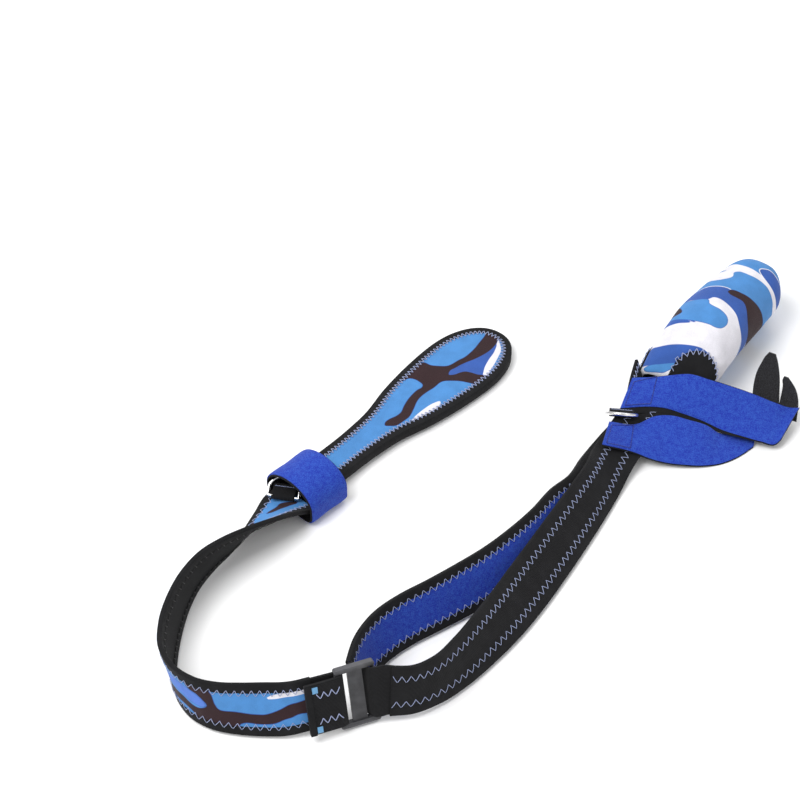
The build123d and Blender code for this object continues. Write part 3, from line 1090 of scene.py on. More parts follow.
@dataclass
class ButtCup:
    """The cup that takes the rod's butt: a foam tube that opens from a flattened mouth."""

    print_: PrintedKnit
    stations: tuple[tuple[Point, float, float, float], ...] = (
        ((266, 0, 16.5), 58.0, 35.0, 14.5),
        ((279, 17, 29), 55.0, 37.5, 27.0),
        ((294, 38, 38), 52.0, 38.0, 37.5),
        ((355, 125, 34.5), 52.0, 34.5, 34.0),
    )
    wall: float = 3.0
    lining: float = 1.0
    map_radius: float = 37.0
    sides: int = 120
    front_patch: tuple[float, float, float, float] = (46.0, 62.0, -24.0, 5.5)
    side_patch: tuple[float, float, float, float] = (205.0, 40.0, -24.0, 12.0)
    table: dict[str, Array] = field(default_factory=dict)

    def survey(self) -> None:
        """Smooths the stations into tables read by distance from the mouth."""
        rows = np.array([[*(np.array(c) + LAYOUT), math.radians(a), w, h] for c, a, w, h in self.stations])
        knots = gone_along(rows[:, :3])
        slope = np.gradient(rows, knots, axis=0)
        slope[2] = (slope[2] + (rows[3] - rows[2]) / (knots[3] - knots[2])) / 2
        slope[3] = (rows[3] - rows[2]) / (knots[3] - knots[2])
        s = np.linspace(0, knots[-1], 160)
        i = np.clip(np.searchsorted(knots, s, "right") - 1, 0, 2)
        gap = (knots[i + 1] - knots[i])[:, None]
        t = (s - knots[i])[:, None] / gap
        curve = eased(t, gap, (rows[i], rows[i + 1]), (slope[i], slope[i + 1]))
        self.table = {"s": s, "rows": curve, "knots": knots}

    def put(self, s: Array, angle: Array, off: Array) -> Array:
        """Points on the cup.

        Args:
            s: distance from the mouth along the axis.
            angle: round the section, from its right, radians.
            off: distance outside its outer skin.

        Returns:
            Points in millimetres.
        """
        s, angle, off = np.broadcast_arrays(s, angle, off)
        row = np.stack([np.interp(s, self.table["s"], self.table["rows"][:, c]) for c in range(6)], -1)
        right = np.stack([np.sin(row[..., 3]), -np.cos(row[..., 3]), np.zeros_like(s)], -1)
        ahead = np.stack([np.cos(row[..., 3]), np.sin(row[..., 3]), np.zeros_like(s)], -1)
        end = self.table["s"][-1]
        past = np.clip((s - end) / row[..., 5], 0, math.pi / 2)
        shrink = np.cos(past)
        wide = (row[..., 4] + off) * shrink
        high = (row[..., 5] + off) * shrink
        tip = (row[..., 4] + off) * np.sin(past)
        return (row[..., :3] + ahead * tip[..., None] + right * (wide * np.cos(angle))[..., None]
                + np.array([0, 0, 1.0]) * (high * np.sin(angle))[..., None])

    def settle(self, s: Array, angle: Array) -> Array:
        """Soft dents and creases of the foam.

        Args:
            s: distance from the mouth.
            angle: round the section, radians.

        Returns:
            How far the skin stands out, in millimetres.
        """
        crease = np.exp(-((s - 52) / 9) ** 2) * 0.9 * np.cos(angle * 2 + 0.5)
        waves = 0.5 * np.sin(angle * 3 + s * 0.06) + 0.35 * np.sin(angle * 5 - s * 0.09 + 1)
        return waves - 0.6 * crease - 0.6

    def build(self, finishes: Finishes) -> None:
        """Builds the shell, its lining, its patches and their stitching.

        Args:
            finishes: the shared materials.
        """
        self.survey()
        length = self.table["s"][-1]
        dome = self.stations[-1][2] * math.pi / 2
        s = np.concatenate([np.linspace(0, length, 70), length + np.linspace(0.02, 0.985, 26) * dome])
        circle = np.linspace(-math.pi / 2, 1.5 * math.pi, self.sides + 1)
        turn = circle[:-1]
        grid_s, grid_a = np.meshgrid(s, turn, indexing="ij")
        off = self.settle(grid_s, grid_a)
        off[0] -= 0.9
        outside = self.put(grid_s, grid_a, off)
        lip = self.put(grid_s[:1] + 0.0, grid_a[:1], off[:1] - self.wall + 1.0)
        inside = self.put(grid_s[:-1], grid_a[:-1], off[:-1] - self.wall)[::-1]
        rings = np.concatenate([inside, lip, outside])
        along = np.concatenate([-s[:-1][::-1] - 4, [-2.0], s])
        around = (circle - math.pi / 2) * self.map_radius
        shell = swept("butt_cup_shell", rings, around, along)
        flat = np.stack([np.tile(around[:-1], len(along)), np.repeat(along, self.sides)], -1)
        self.print_.lay_on(shell, flat)
        dress(shell, finishes.of(self.print_), ("cup_shell", "cup_dome"))
        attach(shell, "strap")
        keep = s < length
        core = np.concatenate([
            self.put(grid_s[keep], grid_a[keep], off[keep] - self.wall - self.lining)[::-1],
            self.put(grid_s[keep], grid_a[keep], off[keep] - self.wall - 0.05),
        ])
        reach = s[keep]
        inner = self.tube("butt_cup_lining", core, around, np.concatenate([-reach[::-1], reach]))
        dress(inner, finishes.of(INNER_KNIT), ("cup_lining",))
        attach(inner, "strap")
        for name, node, spec in (
            ("mouth_patch", "cup_front_patch", self.front_patch),
            ("side_patch", "cup_side_patch", self.side_patch),
        ):
            self.add_patch(name, node, spec, finishes)

    @staticmethod
    def tube(name: str, rings: Array, around: Array, along: Array) -> bpy.types.Object:
        """Skins rings that close on themselves, with no flat ends.

        Args:
            name: the piece's name.
            rings: (n, k, 3) points; the last ring joins the first.
            around, along: distances for the cloth's map.

        Returns:
            The object.
        """
        count, sides = rings.shape[:2]
        faces, uv = [], []
        for i in range(count):
            n = (i + 1) % count
            for j in range(sides):
                k = (j + 1) % sides
                faces.append((i * sides + j, i * sides + k, n * sides + k, n * sides + j))
                uv += [(around[j], along[i]), (around[j + 1], along[i]),
                       (around[j + 1], along[n]), (around[j], along[n])]
        return cloth_mesh(name, rings.reshape(-1, 3), faces, uv)

    def add_patch(self, name: str, node: str, spec: tuple[float, float, float, float],
                  finishes: Finishes) -> None:
        """A rounded tongue sewn on the cup beside its mouth.

        Args:
            name: the piece's name.
            node: the CAD node that it replaces.
            spec: angle round the section in degrees, width, start and end from the second station.
            finishes: the shared materials.
        """
        angle, width, start, end = spec
        root = self.table["knots"][1]
        half = width / 2
        b = np.linspace(-half, half, 41)
        arch = min(half, 25.0) / half
        reach = end - half * arch + arch * np.sqrt(np.maximum(half ** 2 - b ** 2, 0))
        share = np.linspace(0, 1, 25)
        low = max(start, 1.0 - root)
        s = root + low + share[:, None] * (reach - low)[None, :]
        row_radius = np.interp(s, self.table["s"], self.table["rows"][:, 4])
        turn = math.radians(angle) + b[None, :] / row_radius
        edge = np.minimum(np.minimum((b + half)[None, :] + 0 * s, (half - b)[None, :] + 0 * s),
                          (root + reach)[None, :] - s)
        puff = 1.0 - np.exp(-np.maximum(edge, 0) / 1.2)
        base = self.settle(s, turn)
        top = self.put(s, turn, base + 0.6 + 2.2 * puff)
        under = self.put(s, turn, base + 0.15)
        rings = np.concatenate([top, under[:, ::-1]], axis=1)
        across = np.concatenate([b, 2 * half + b, [3 * half]])
        patch = swept(name, rings, across, share * (end - low), 60.0)
        dress(patch, finishes.of(INNER_KNIT), (node,))
        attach(patch, "strap")
        path_b = np.concatenate([np.full(12, -half + 2.2), np.linspace(-half + 2.2, half - 2.2, 60)[1:-1],
                                 np.full(12, half - 2.2)])
        round_end = end - half * arch + arch * np.sqrt(np.maximum((half - 1.5) ** 2 - path_b ** 2, 0)) - 0.5
        path_s = root + np.concatenate([np.linspace(low + 2, round_end[12], 12), round_end[12:-12],
                                        np.linspace(round_end[-13], low + 2, 12)])
        self.sew_zigzag(f"{name}_zigzag", path_s, path_b, math.radians(angle), finishes)

    def sew_zigzag(self, name: str, path_s: Array, path_b: Array, angle: float, finishes: Finishes,
                   reach: float = 5.0, pitch: float = 6.0) -> None:
        """Sews a zigzag row along a line on the cup.

        Args:
            name: the piece's name.
            path_s: distances along the cup.
            path_b: distances round it.
            angle: where round the section that starts.
            finishes: the shared materials.
            reach: the row's width.
            pitch: one full zig and zag.
        """
        flat = np.stack([path_b, path_s], -1)
        gone = gone_along(flat)
        count = int(gone[-1] / (pitch / 2))
        holes = np.linspace(0, gone[-1], count + 1)
        share, lift = np.array([0.0, 0.12, 0.5, 0.88]), np.array([-0.3, 0.2, 0.4, 0.2])
        along = (holes[:-1, None] + (holes[1:] - holes[:-1])[:, None] * share).ravel()
        sway = np.where(np.arange(count + 1) % 2 == 0, -0.5, 0.5) * reach
        sway = (sway[:-1, None] + (sway[1:] - sway[:-1])[:, None] * share).ravel()
        place = np.stack([np.interp(along, gone, flat[:, c]) for c in (0, 1)], -1)
        ahead = unit(np.gradient(place, axis=0))
        place = place + np.stack([ahead[:, 1], -ahead[:, 0]], -1) * sway[:, None]
        radius = np.interp(place[:, 1], self.table["s"], self.table["rows"][:, 4])
        turn = angle + place[:, 0] / radius
        rise = self.settle(place[:, 1], turn) + 2.75
        line = self.put(place[:, 1], turn, rise + np.tile(lift, count))
        normal = self.put(place[:, 1], turn, rise + 5) - self.put(place[:, 1], turn, rise)
        piece = thread_mesh(name, [(line, unit(normal))], 0.42)
        dress(piece, finishes.of(THREAD))
        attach(piece, "strap")


@dataclass
class TipCover:
    """The flat paddle that covers the rod's tips, with its neck and bound rim."""

    print_: PrintedKnit
    at: Point = (-91, -132, 4.6)
    yaw: float = 49.0
    slope: float = -0.8
    neck_half: float = 19.0
    fold_at: float = 60.6
    widest: float = 40.0
    shoulder: float = 230.0
    length: float = 294.0
    profile: tuple[tuple[float, float], ...] = (
        (0, 19), (60, 19), (86, 20), (112, 22.5), (150, 31.5), (190, 37.5), (230, 40),
    )
    panel: float = 2.0
    pocket: float = 5.0
    border: float = 8.5

    def axes(self) -> tuple[Array, Array, Array, Array]:
        """Origin, and the directions along, to the left and up."""
        yaw, slope = math.radians(self.yaw), math.radians(self.slope)
        along = unit(np.array([math.cos(yaw), math.sin(yaw), math.sin(slope)]))
        left = unit(np.cross((0, 0, 1), along))
        return np.array(self.at) + LAYOUT, along, left, np.cross(along, left)

    def put(self, s: Array, b: Array, h: Array) -> Array:
        """Points on or near the cover.

        Args:
            s: distance along it.
            b: distance to its left.
            h: distance up.

        Returns:
            Points in millimetres.
        """
        origin, along, left, up = self.axes()
        s, b, h = np.broadcast_arrays(s, b, h)
        return origin + along * s[..., None] + left * b[..., None] + up * h[..., None]

    def half(self, s: Array) -> Array:
        """Half width at a distance along the cover."""
        stops = np.array(self.profile, float)
        slope = np.gradient(stops[:, 1], stops[:, 0])
        slope[-1] = 0.0
        slope[:2] = 0.0
        i = np.clip(np.searchsorted(stops[:, 0], s, "right") - 1, 0, len(stops) - 2)
        gap = stops[i + 1, 0] - stops[i, 0]
        t = np.clip((s - stops[i, 0]) / gap, 0, 1)
        side = eased(t, gap, (stops[i, 1], stops[i + 1, 1]), (slope[i], slope[i + 1]))
        past = np.clip((s - self.shoulder) / (self.length - self.shoulder), 0, 1)
        return np.where(s > self.shoulder, self.widest * (1 - past ** 2.15) ** (1 / 2.15), side)

    def rows(self) -> Array:
        """Distances along the cover at which its mesh has a row."""
        cap = np.sin(np.linspace(0, 0.497 * math.pi, 40)[1:]) * (self.length - self.shoulder)
        return np.concatenate([np.linspace(0, self.shoulder, 116), self.shoulder + cap])

    def panel_piece(self, name: str, low: float, high: float, crown: float,
                    inset: float) -> tuple[bpy.types.Object, Array]:
        """A panel of the cover.

        Args:
            name: the piece's name.
            low, high: heights of its faces.
            crown: how far its upper face swells.
            inset: how far inside the outline it stops.

        Returns:
            The object, and each point's place on the cloth.
        """
        s = self.rows()
        s = np.minimum(s, self.length - inset - 0.3)
        half = np.maximum(self.half(s) - inset, 0.4)
        x = np.linspace(-1, 1, 41)
        b = half[:, None] * x[None, :]
        bulge = crown * (1 - x ** 4)[None, :] * np.clip(half / 30, 0.4, 1.2)[:, None]
        ripple = 0.35 * np.sin(s * 0.13 + 0.4)[:, None] * (1 - x ** 2)[None, :]
        top = self.put(s[:, None] + 0 * b, b, high + bulge + ripple)
        under = self.put(s[:, None] + 0 * b, b, low + 0 * b)
        rings = np.concatenate([top, under[:, ::-1]], axis=1)
        across = np.concatenate([x, 2 + x, [3.0]]) * self.widest
        piece = swept(name, rings, across, s)
        flat = np.concatenate([np.stack([b, s[:, None] + 0 * b], -1),
                               np.stack([b[:, ::-1], s[:, None] + 0 * b], -1)], axis=1)
        return piece, flat.reshape(-1, 2)

    def join(self, piece: bpy.types.Object) -> None:
        """Bakes a piece's placement into its mesh; it does not bend it at the neck."""
        start = self.put(np.array(self.fold_at - 7), np.array(0), np.array(9.9))
        end = self.put(np.array(self.fold_at + 7), np.array(0), np.array(9.9))
        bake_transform(piece)

    def build(self, finishes: Finishes) -> None:
        """Builds the panels, the bound rim and the stitching.

        Args:
            finishes: the shared materials.
        """
        thick = 2 * self.panel + self.pocket
        top, flat = self.panel_piece("tip_cover_upper_panel", thick - self.panel, thick, 1.3,
                                     self.border - 0.9)
        self.print_.lay_on(top, flat)
        dress(top, finishes.of(self.print_), ("tip_cover_top", "tip_neck_top"))
        self.join(top)
        under, _ = self.panel_piece("tip_cover_lower_panel", 0.0, self.panel, 0.0, 1.3)
        dress(under, finishes.of(INNER_KNIT), ("tip_cover_bottom", "tip_neck_bottom"))
        self.join(under)
        s = self.rows()
        side = np.stack([s, -self.half(s)], -1)
        outline = np.vstack([side, [[self.length, 0]], side[::-1] * [1, -1]])
        inwards = unit(np.gradient(outline, axis=0))
        inwards = np.stack([-inwards[:, 1], inwards[:, 0]], -1)
        edge = self.put(outline[:, 0], outline[:, 1], np.array(thick / 2))
        inner = outline + inwards * 10
        pairs = np.hstack([edge, self.put(inner[:, 0], inner[:, 1], np.array(thick / 2))])
        rim = Course(pairs, step=1.2, moved=False)
        hem = rim.hem("tip_cover_rim", False, thick + 1.1, self.border, 0.6, step=1.6, middle=0.2)
        dress(hem, finishes.of(BINDING), ("tip_cover_binding", "tip_neck_binding"))
        self.join(hem)
        runs = [rim.zigzag(self.border, False, 5.2, 4.8, thick / 2 + 0.95),
                rim.zigzag(self.border, False, 3.6, 4.3, -thick / 2 - 0.35)]
        seam = thread_mesh("tip_cover_zigzag", runs, 0.4)
        dress(seam, finishes.of(THREAD))
        self.join(seam)


@dataclass
class TipWrap:
    """The closed hook-and-loop band round the tip cover's neck."""

    at: Point = (-104, -153, 18)
    yaw: float = 46.5
    length: float = 48.0
    wide: float = 31.0
    high: float = 22.5
    floor: float = 17.5
    corner: float = 8.0
    girth: float = 175.0

    def section(self, grow: float, count: int = 96) -> Array:
        """The band's section: an arch on a flat base with rounded corners.

        Args:
            grow: distance outside its outer skin.
            count: points round it.

        Returns:
            (count, 2) sideways and upwards.
        """
        wide, high = self.wide + grow, self.high + grow
        floor, corner = self.floor + grow, self.corner + grow
        arch = [(wide * math.cos(a), high * math.sin(a)) for a in np.linspace(0, math.pi, 60)]
        left = [(corner - wide - corner * math.cos(a), corner - floor - corner * math.sin(a))
                for a in np.linspace(0, math.pi / 2, 12)]
        right = [(-x, y) for x, y in left[::-1]]
        loop = np.array(arch + left + right + arch[:1])
        gone = gone_along(loop)
        spots = np.linspace(0, gone[-1], count + 1)[:-1]
        return np.stack([np.interp(spots, gone, loop[:, c]) for c in (0, 1)], -1)

    def put(self, section: Array, s: float) -> Array:
        """Sets a section across the band's axis.

        Args:
            section: (n, 2) sideways and upwards.
            s: distance along the axis.

        Returns:
            (n, 3) points in millimetres.
        """
        yaw = math.radians(self.yaw)
        along = np.array([math.cos(yaw), math.sin(yaw), 0])
        side = np.array([math.sin(yaw), -math.cos(yaw), 0])
        origin = np.array(self.at) + LAYOUT + along * s
        return origin + side * section[:, :1] + np.array([0, 0, 1.0]) * section[:, 1:]

    def band(self, name: str, outer: float, inner: float, inset: float) -> bpy.types.Object:
        """One closed layer of the band, with soft edges.

        Args:
            name: the piece's name.
            outer, inner: its faces, from the outer skin.
            inset: how far it stops inside the band's two rims.

        Returns:
            The object.
        """
        rows = 24
        rims = (0, rows - 1)
        s = np.linspace(inset, self.length - inset, rows)
        skin = [self.put(self.section(outer - 0.35 * (i in rims) + 0.25 * math.sin(v * 0.2)), v)
                for i, v in enumerate(s)]
        core = [self.put(self.section(inner), v) for v in s[::-1]]
        gone = np.linspace(0, self.girth, 97)
        return ButtCup.tube(name, np.array(skin + core), gone, np.concatenate([s, s[::-1]]))

    def build(self, finishes: Finishes) -> None:
        """Builds the band and its backing.

        Args:
            finishes: the shared materials.
        """
        pile = self.band("tip_wrap_pile", 0.0, -1.3, 1.2)
        dress(pile, finishes.of(PILE), ("tip_wrap_band",))
        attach(pile, "strap")
        backing = self.band("tip_wrap_backing", -1.35, -2.6, 0.0)
        dress(backing, finishes.of(INNER_KNIT), ("tip_wrap_lining",))
        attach(backing, "strap")


@dataclass
class BuckleEnd:
    """The slide buckle, the strap end folded round its bar and the strap turned through it."""

    at: Point = (-34, -405, 6)
    yaw: float = 21.0
    lean: float = 73.0
    width: float = 50.0
    bar: float = 2.0
    across: float = 36.0

    def axes(self) -> tuple[Array, Array, Array, Array]:
        """Origin at the centre bar, and the directions along, up and out of its front."""
        yaw, lean = math.radians(self.yaw), math.radians(self.lean)
        along = np.array([math.cos(yaw), math.sin(yaw), 0])
        left = np.cross((0, 0, 1), along)
        up = left * math.cos(lean) + np.array([0, 0, 1.0]) * math.sin(lean)
        return np.array(self.at) + up * self.width / 2, along, up, np.cross(along, up)

    def pairs(self, stops: Sequence[tuple[float, float]]) -> list[Pair]:
        """Edge points of a strip from (along, out) places beside the buckle."""
        origin, along, up, out = self.axes()
        half = up * self.width / 2
        centres = [origin + along * a + out * o for a, o in stops]
        return [(tuple(c - half), tuple(c + half)) for c in centres]

    def build(self, finishes: Finishes, onwards: Sequence[Pair], back: Sequence[Pair]) -> None:
        """Builds the strips at the buckle and dresses the buckle.

        Args:
            finishes: the shared materials.
            onwards: the far ribbon's first two stations.
            back: the front ribbon's first two stations.
        """
        side = self.across / 2 - self.bar
        turn = self.bar + 2.1
        fold = Course(self.pairs([
            (-side - 22, -turn - 1.2), (-side - 4, -turn - 0.2), (-side, -turn), (-side + 2.9, 1.2 - turn),
            (turn - side, 0), (-side + 2.9, turn - 1.2), (-side, turn), (-side - 6, turn + 0.2),
            (-side - 16, turn + 0.2), (-side - 30, turn - 0.4)]), step=0.6)
        piece, _ = fold.slab("strap_end_fold", 0.0, -1.6, 1.6, 0.1, step=1.0)
        dress(piece, finishes.of(WEBBING), ("strap_end_fold",))
        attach(piece, "strap")
        front = fold.length - 30
        runs = [fold.zigzag(12.0, upper, 6.0, 7.0, -1.65, start=front, end=fold.length - 6)
                for upper in (False, True)]
        seam = thread_mesh("strap_end_zigzag", runs, 0.42)
        dress(seam, finishes.of(THREAD))
        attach(seam, "strap")
        tape, _ = fold.slab("strap_end_tape", -0.5, -2.5, -1.7, 0.0, step=1.0, start=fold.length - 5.6)
        dress(tape, finishes.of(BINDING), ("strap_end_tape",))
        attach(tape, "strap")
        tacks = []
        for u in (5.0, self.width - 5.0):
            for k in range(9):
                s = fold.length - 6.5 - k * 0.55
                tacks.append(fold.run_stitch([(s, u - 4.0), (s, u + 4.0)], -1.75, 8.0))
        tack = thread_mesh("strap_end_bar_tacks", tacks, 0.3)
        dress(tack, finishes.of(SKY_THREAD))
        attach(tack, "strap")
        clear = self.bar + 3.8
        ahead = unit(np.array(onwards[1][0]) - np.array(onwards[0][0]))
        last = tuple(tuple(np.array(edge) - ahead * 1.6) for edge in onwards[0])
        first = tuple(tuple(0.7 * np.array(a) + 0.3 * np.array(b)) for a, b in zip(back[0], back[1]))
        through = Course([first, *self.pairs([
            (side + 7.6, clear + 0.3), (side + 1, clear), (side - 3.0, clear - 1.4), (side - 5.2, 0.6),
            (side - 7.0, -4.4)]), last], step=0.6)
        strip, _ = through.slab("loop_strap_turn", 0.0, -1.3, 1.3, 0.1, step=1.0)
        dress(strip, finishes.of(WEBBING), ("loop_strap_turn",))
        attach(strip, "strap")
        refinish("slide_buckle", finishes.of(PLASTIC))


@dataclass
class RingTab:
    """A webbing loop round a D-ring's bar."""

    name: str
    at: Point
    bar: Point
    lean: Point
    width: float
    tail: float
    wire: float = 1.6

    def build(self, finishes: Finishes) -> None:
        """Builds the loop and its seam.

        Args:
            finishes: the shared materials.
        """
        z = unit(np.array(self.lean, float))
        x = unit(np.array(self.bar, float) - z * (np.array(self.bar, float) @ z))
        y = np.cross(z, x)
        radius = self.wire + 1.05
        turn = np.linspace(math.radians(70), math.radians(290), 22)
        bend = [(radius * math.cos(a), radius * math.sin(a)) for a in turn]
        path = [(self.tail, 0.65), *bend, (self.tail, -0.65)]
        origin = np.array(self.at, float)
        pairs = [(tuple(origin + y * a + z * b - x * self.width / 2),
                  tuple(origin + y * a + z * b + x * self.width / 2)) for a, b in path]
        course = Course(pairs, step=0.5)
        piece, _ = course.slab(self.name, 0.0, -0.52, 0.52, 0.0, step=0.8)
        dress(piece, finishes.of(WEBBING), (self.name,))
        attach(piece, "strap")
        mark = course.length - 3.5
        face = 0.55 if self.top_is_outer(course, z) else -0.55
        runs = [course.run_stitch([(s, 1.5), (s, self.width - 1.5)], face) for s in (3.5, mark)]
        seam = thread_mesh(f"{self.name}_seam", runs, 0.3)
        dress(seam, finishes.of(THREAD))
        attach(seam, "strap")

    @staticmethod
    def top_is_outer(course: Course, z: Array) -> bool:
        """Whether the loop's outward side is its upper side at its start.

        Args:
            course: the loop's run.
            z: the tab's upward direction.

        Returns:
            True where it is.
        """
        return bool(course.out[2] @ z > 0)


@dataclass
class MouthEnd:
    """A strap's end where it is sewn beside the cup's mouth."""

    name: str
    stations: Sequence[Pair]
    finish: Finish = INNER_KNIT
    stitched: bool = True

    def build(self, finishes: Finishes) -> None:
        """Builds the end and its zigzag rows.

        Args:
            finishes: the shared materials.
        """
        course = Course(self.stations)
        piece, _ = course.slab(self.name, 0.0, -1.5, 1.5, 0.3, step=1.6)
        dress(piece, finishes.of(self.finish), (self.name,))
        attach(piece, "strap")
        if self.stitched:
            runs = [course.zigzag(4.0, upper, 5.0, 6.0, height)
                    for upper in (False, True) for height in (1.6, -1.5)]
            seam = thread_mesh(f"{self.name}_zigzag", runs, 0.42)
            dress(seam, finishes.of(THREAD))
            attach(seam, "strap")


# ---------------------------------------------------------------- layout

CAMO_ROUTE = [
    (-114, -128, 8, 3), (-126, -140, 7, 8), (-136, -161, 4, 26), (-146, -184, 2, 46),
    (-156, -205, 1, 62), (-171, -228, 1, 74), (-182, -249, 1, 83), (-190, -274, 1, 91),
    (-195, -304, 1, 98), (-197, -336, 1, 102), (-196, -360, 1, 101), (-189, -384, 1, 94),
    (-176, -402, 1, 85), (-158, -413, 1, 77), (-138, -418, 1, 71), (-116, -420, 1, 67),
    (-94, -420, 2, 67), (-79, -417, 4, 69), (-65, -412, 6, 72),
]
FRONT_ROUTE = [
    (-9, -402, 6, 75), (10, -398, 4, 78), (34, -385, 2, 77), (60, -363, 1, 69),
    (84, -337, 1, 60), (108, -307, 1, 51), (130, -274, 1, 45), (150, -240, 1, 45),
    (170, -204, 1, 47), (190, -166, 1, 49, 49), (206, -134, 1, 44, 46), (219, -108, 5, 28, 43),
    (231, -88, 10, 14, 42), (243, -68, 14, 8, 42), (254, -50, 18, 6, 42), (262, -38, 20, 6, 42),
]
FAR_ROUTE = [
    (-32, -387, 5, 75), (-31, -375, 4, 76), (-27, -362, 3, 74), (-20, -349, 2, 71),
    (-7, -333, 1, 67), (12, -317, 1, 65), (36, -301, 1, 64), (64, -282, 1, 61),
    (94, -260, 1, 57), (122, -234, 1, 54), (146, -208, 1, 51), (165, -182, 1, 50),
    (184, -160, 1, 48, 48), (200, -130, 1, 41, 45), (214, -105, 1, 26, 42), (227, -86, 3, 13, 42),
    (241, -67, 7, 7, 42), (250, -52, 10, 5, 42),
]
UPPER_WRAP = [
    ((213, -41, 27), (228, -2, 33)), ((243, -37, 25), (252, -5, 37)), ((256, -39, 25), (266, -8, 42)),
    ((274, -44, 22), (283, -9, 44)), ((293, -50, 18), (302, -14, 41)), ((311, -57, 13), (323, -17, 35)),
    ((331, -63, 10), (346, -21, 28)), ((349, -68, 8), (366, -25, 21)), ((362, -70, 7), (382, -28, 17)),
    ((367, -66, 9), (389, -30, 19)),
]
LOWER_WRAP = [
    ((192, -94, 30), (202, -57, 26)), ((224, -91, 16), (230, -57, 23.5)), ((238, -94, 11), (245, -51, 27)),
    ((254, -95, 6), (262, -49.5, 27)), ((272, -96, 4), (279, -52.5, 24)), ((290, -95, 2), (297, -54, 18)),
    ((304, -92, 1), (310, -56, 9.5)), ((318, -86, 1), (326, -50, 5)), ((331, -77, 1), (341, -43, 3)),
    ((342, -67, 1), (350, -37, 2)),
]
UPPER_TAIL = [
    ((377, -33, 6.5), 11.0), ((380, -24, 14), 9.8), ((380.5, -20, 24), 8.6), ((379, -18, 34), 6.6),
    ((376, -17, 42), 4.4), ((375, -16.5, 45.5), 2.4),
]
LOWER_TAIL = [
    ((353.5, -38, 2.8), 7.5), ((357, -31, 3), 14.0), ((359, -17, 6), 14.0), ((360, -5, 21), 13.5),
    ((361, 0, 33), 12.0), ((362, 3, 43), 9.2), ((362.5, 5, 51), 6.4), ((363, 6, 56.5), 3.6),
]
FRONT_END = [
    ((268, -36, 20.5), (231, -12, 26)), ((283, -29, 20), (253, -9, 30)), ((297, -22, 20), (275, -8, 34)),
]
FAR_END = [((254, -44, 9.5), (220, -22, 14)), ((249, -22, 4), (225, -3, 25)), ((242, 14, 3), (233, 21, 35))]

CUP_PRINT = PrintedKnit("cup_camouflage", (
    PrintLayer(Ink.PALE, (
        ((65, 36), (50, 42), (30, 41), (16, 42), (7, 45), (-2, 48), (-12, 51), (-18, 53), (-23, 58),
         (-25, 66), (-23, 71), (-19, 73), (-11, 73), (-4, 72), (2, 73), (6, 78), (4, 83), (-4, 85),
         (-12, 85), (-22, 85), (-30, 83), (-39, 80), (-48, 78), (-58, 75), (-70, 72), (-82, 66),
         (-84, 46), (-80, 20), (-74, -4), (-40, -10), (10, -10), (60, -8), (68, 12)),
        ((52, 132), (40, 141), (28, 141), (22, 142), (36, 148), (39, 154), (37, 157), (29, 158), (18, 156),
         (7, 154), (-9, 155), (-18, 156), (-37, 156), (-56, 157), (-74, 163), (-92, 172), (-94, 164),
         (-74, 155), (-58, 148), (-49, 149), (-33, 151), (-24, 150), (-14, 147), (-6, 144), (0, 143),
         (6, 142), (10, 138), (7, 131), (10, 124), (20, 116), (38, 118)),
    )),
    PrintLayer(Ink.MID_BLUE, (
        ((60, 92), (44, 93), (32, 96), (22, 100), (13, 103), (6, 106), (-2, 108), (-12, 106), (-21, 106),
         (-30, 103), (-36, 99), (-45, 95), (-54, 93), (-70, 92), (-86, 88), (-84, 76), (-66, 76), (-54, 78),
         (-46, 79), (-36, 81), (-26, 85), (-15, 86), (-4, 86), (3, 84), (7, 78), (17, 76), (28, 76),
         (46, 78)),
        ((-10, 160), (-14, 167), (-20, 171), (-32, 172), (-48, 175), (-66, 178), (-84, 178), (-88, 168),
         (-72, 163), (-56, 157), (-37, 156), (-19, 156)),
        ((60, 12), (60, 19), (48, 22), (30, 21), (14, 23), (2, 26), (-8, 29), (-17, 31), (-27, 31),
         (-34, 29), (-40, 24), (-38, 16), (-28, 8), (-12, 4), (0, 9), (18, 7), (30, 5), (46, 5)),
        ((66, 46), (54, 50), (44, 53), (31, 49), (18, 46), (8, 46), (-2, 48), (8, 43), (18, 41),
         (30, 40), (50, 42)),
    ), 1.1),
    PrintLayer(Ink.SKY, (
        ((56, 56), (44, 50), (30, 46), (18, 45), (8, 46), (-2, 48), (-12, 51), (-18, 53), (-23, 58),
         (-25, 66), (-23, 71), (-19, 73), (-11, 73), (-4, 72), (2, 73), (6, 78), (17, 76), (28, 75),
         (44, 77), (60, 72)),
        ((40, 2), (30, 5), (18, 7), (9, 9), (1, 11), (3, 7), (7, 4), (11, 2), (20, 1), (32, 0)),
    ), 0.5, Ink.MID_BLUE),
    PrintLayer(Ink.MAROON, (
        ((-3, 103), (-4, 108), (-8, 111), (-14, 113), (-21, 116), (-29, 119), (-37, 122), (-45, 124),
         (-55, 125), (-70, 128), (-86, 130), (-96, 122), (-92, 106), (-78, 97), (-64, 93), (-52, 93),
         (-40, 95), (-28, 103), (-22, 105), (-15, 103), (-8, 101)),
        ((58, 60), (54, 70), (46, 72), (37, 67), (25, 57), (25, 53), (34, 52), (44, 52), (52, 54)),
        ((96, 20), (86, 34), (92, 52), (104, 66), (112, 50), (106, 34), (112, 18)),
        ((-112, 84), (-104, 100), (-110, 122), (-114, 140), (-100, 132), (-98, 110)),
    ), 0.5, Ink.MID_BLUE),
))
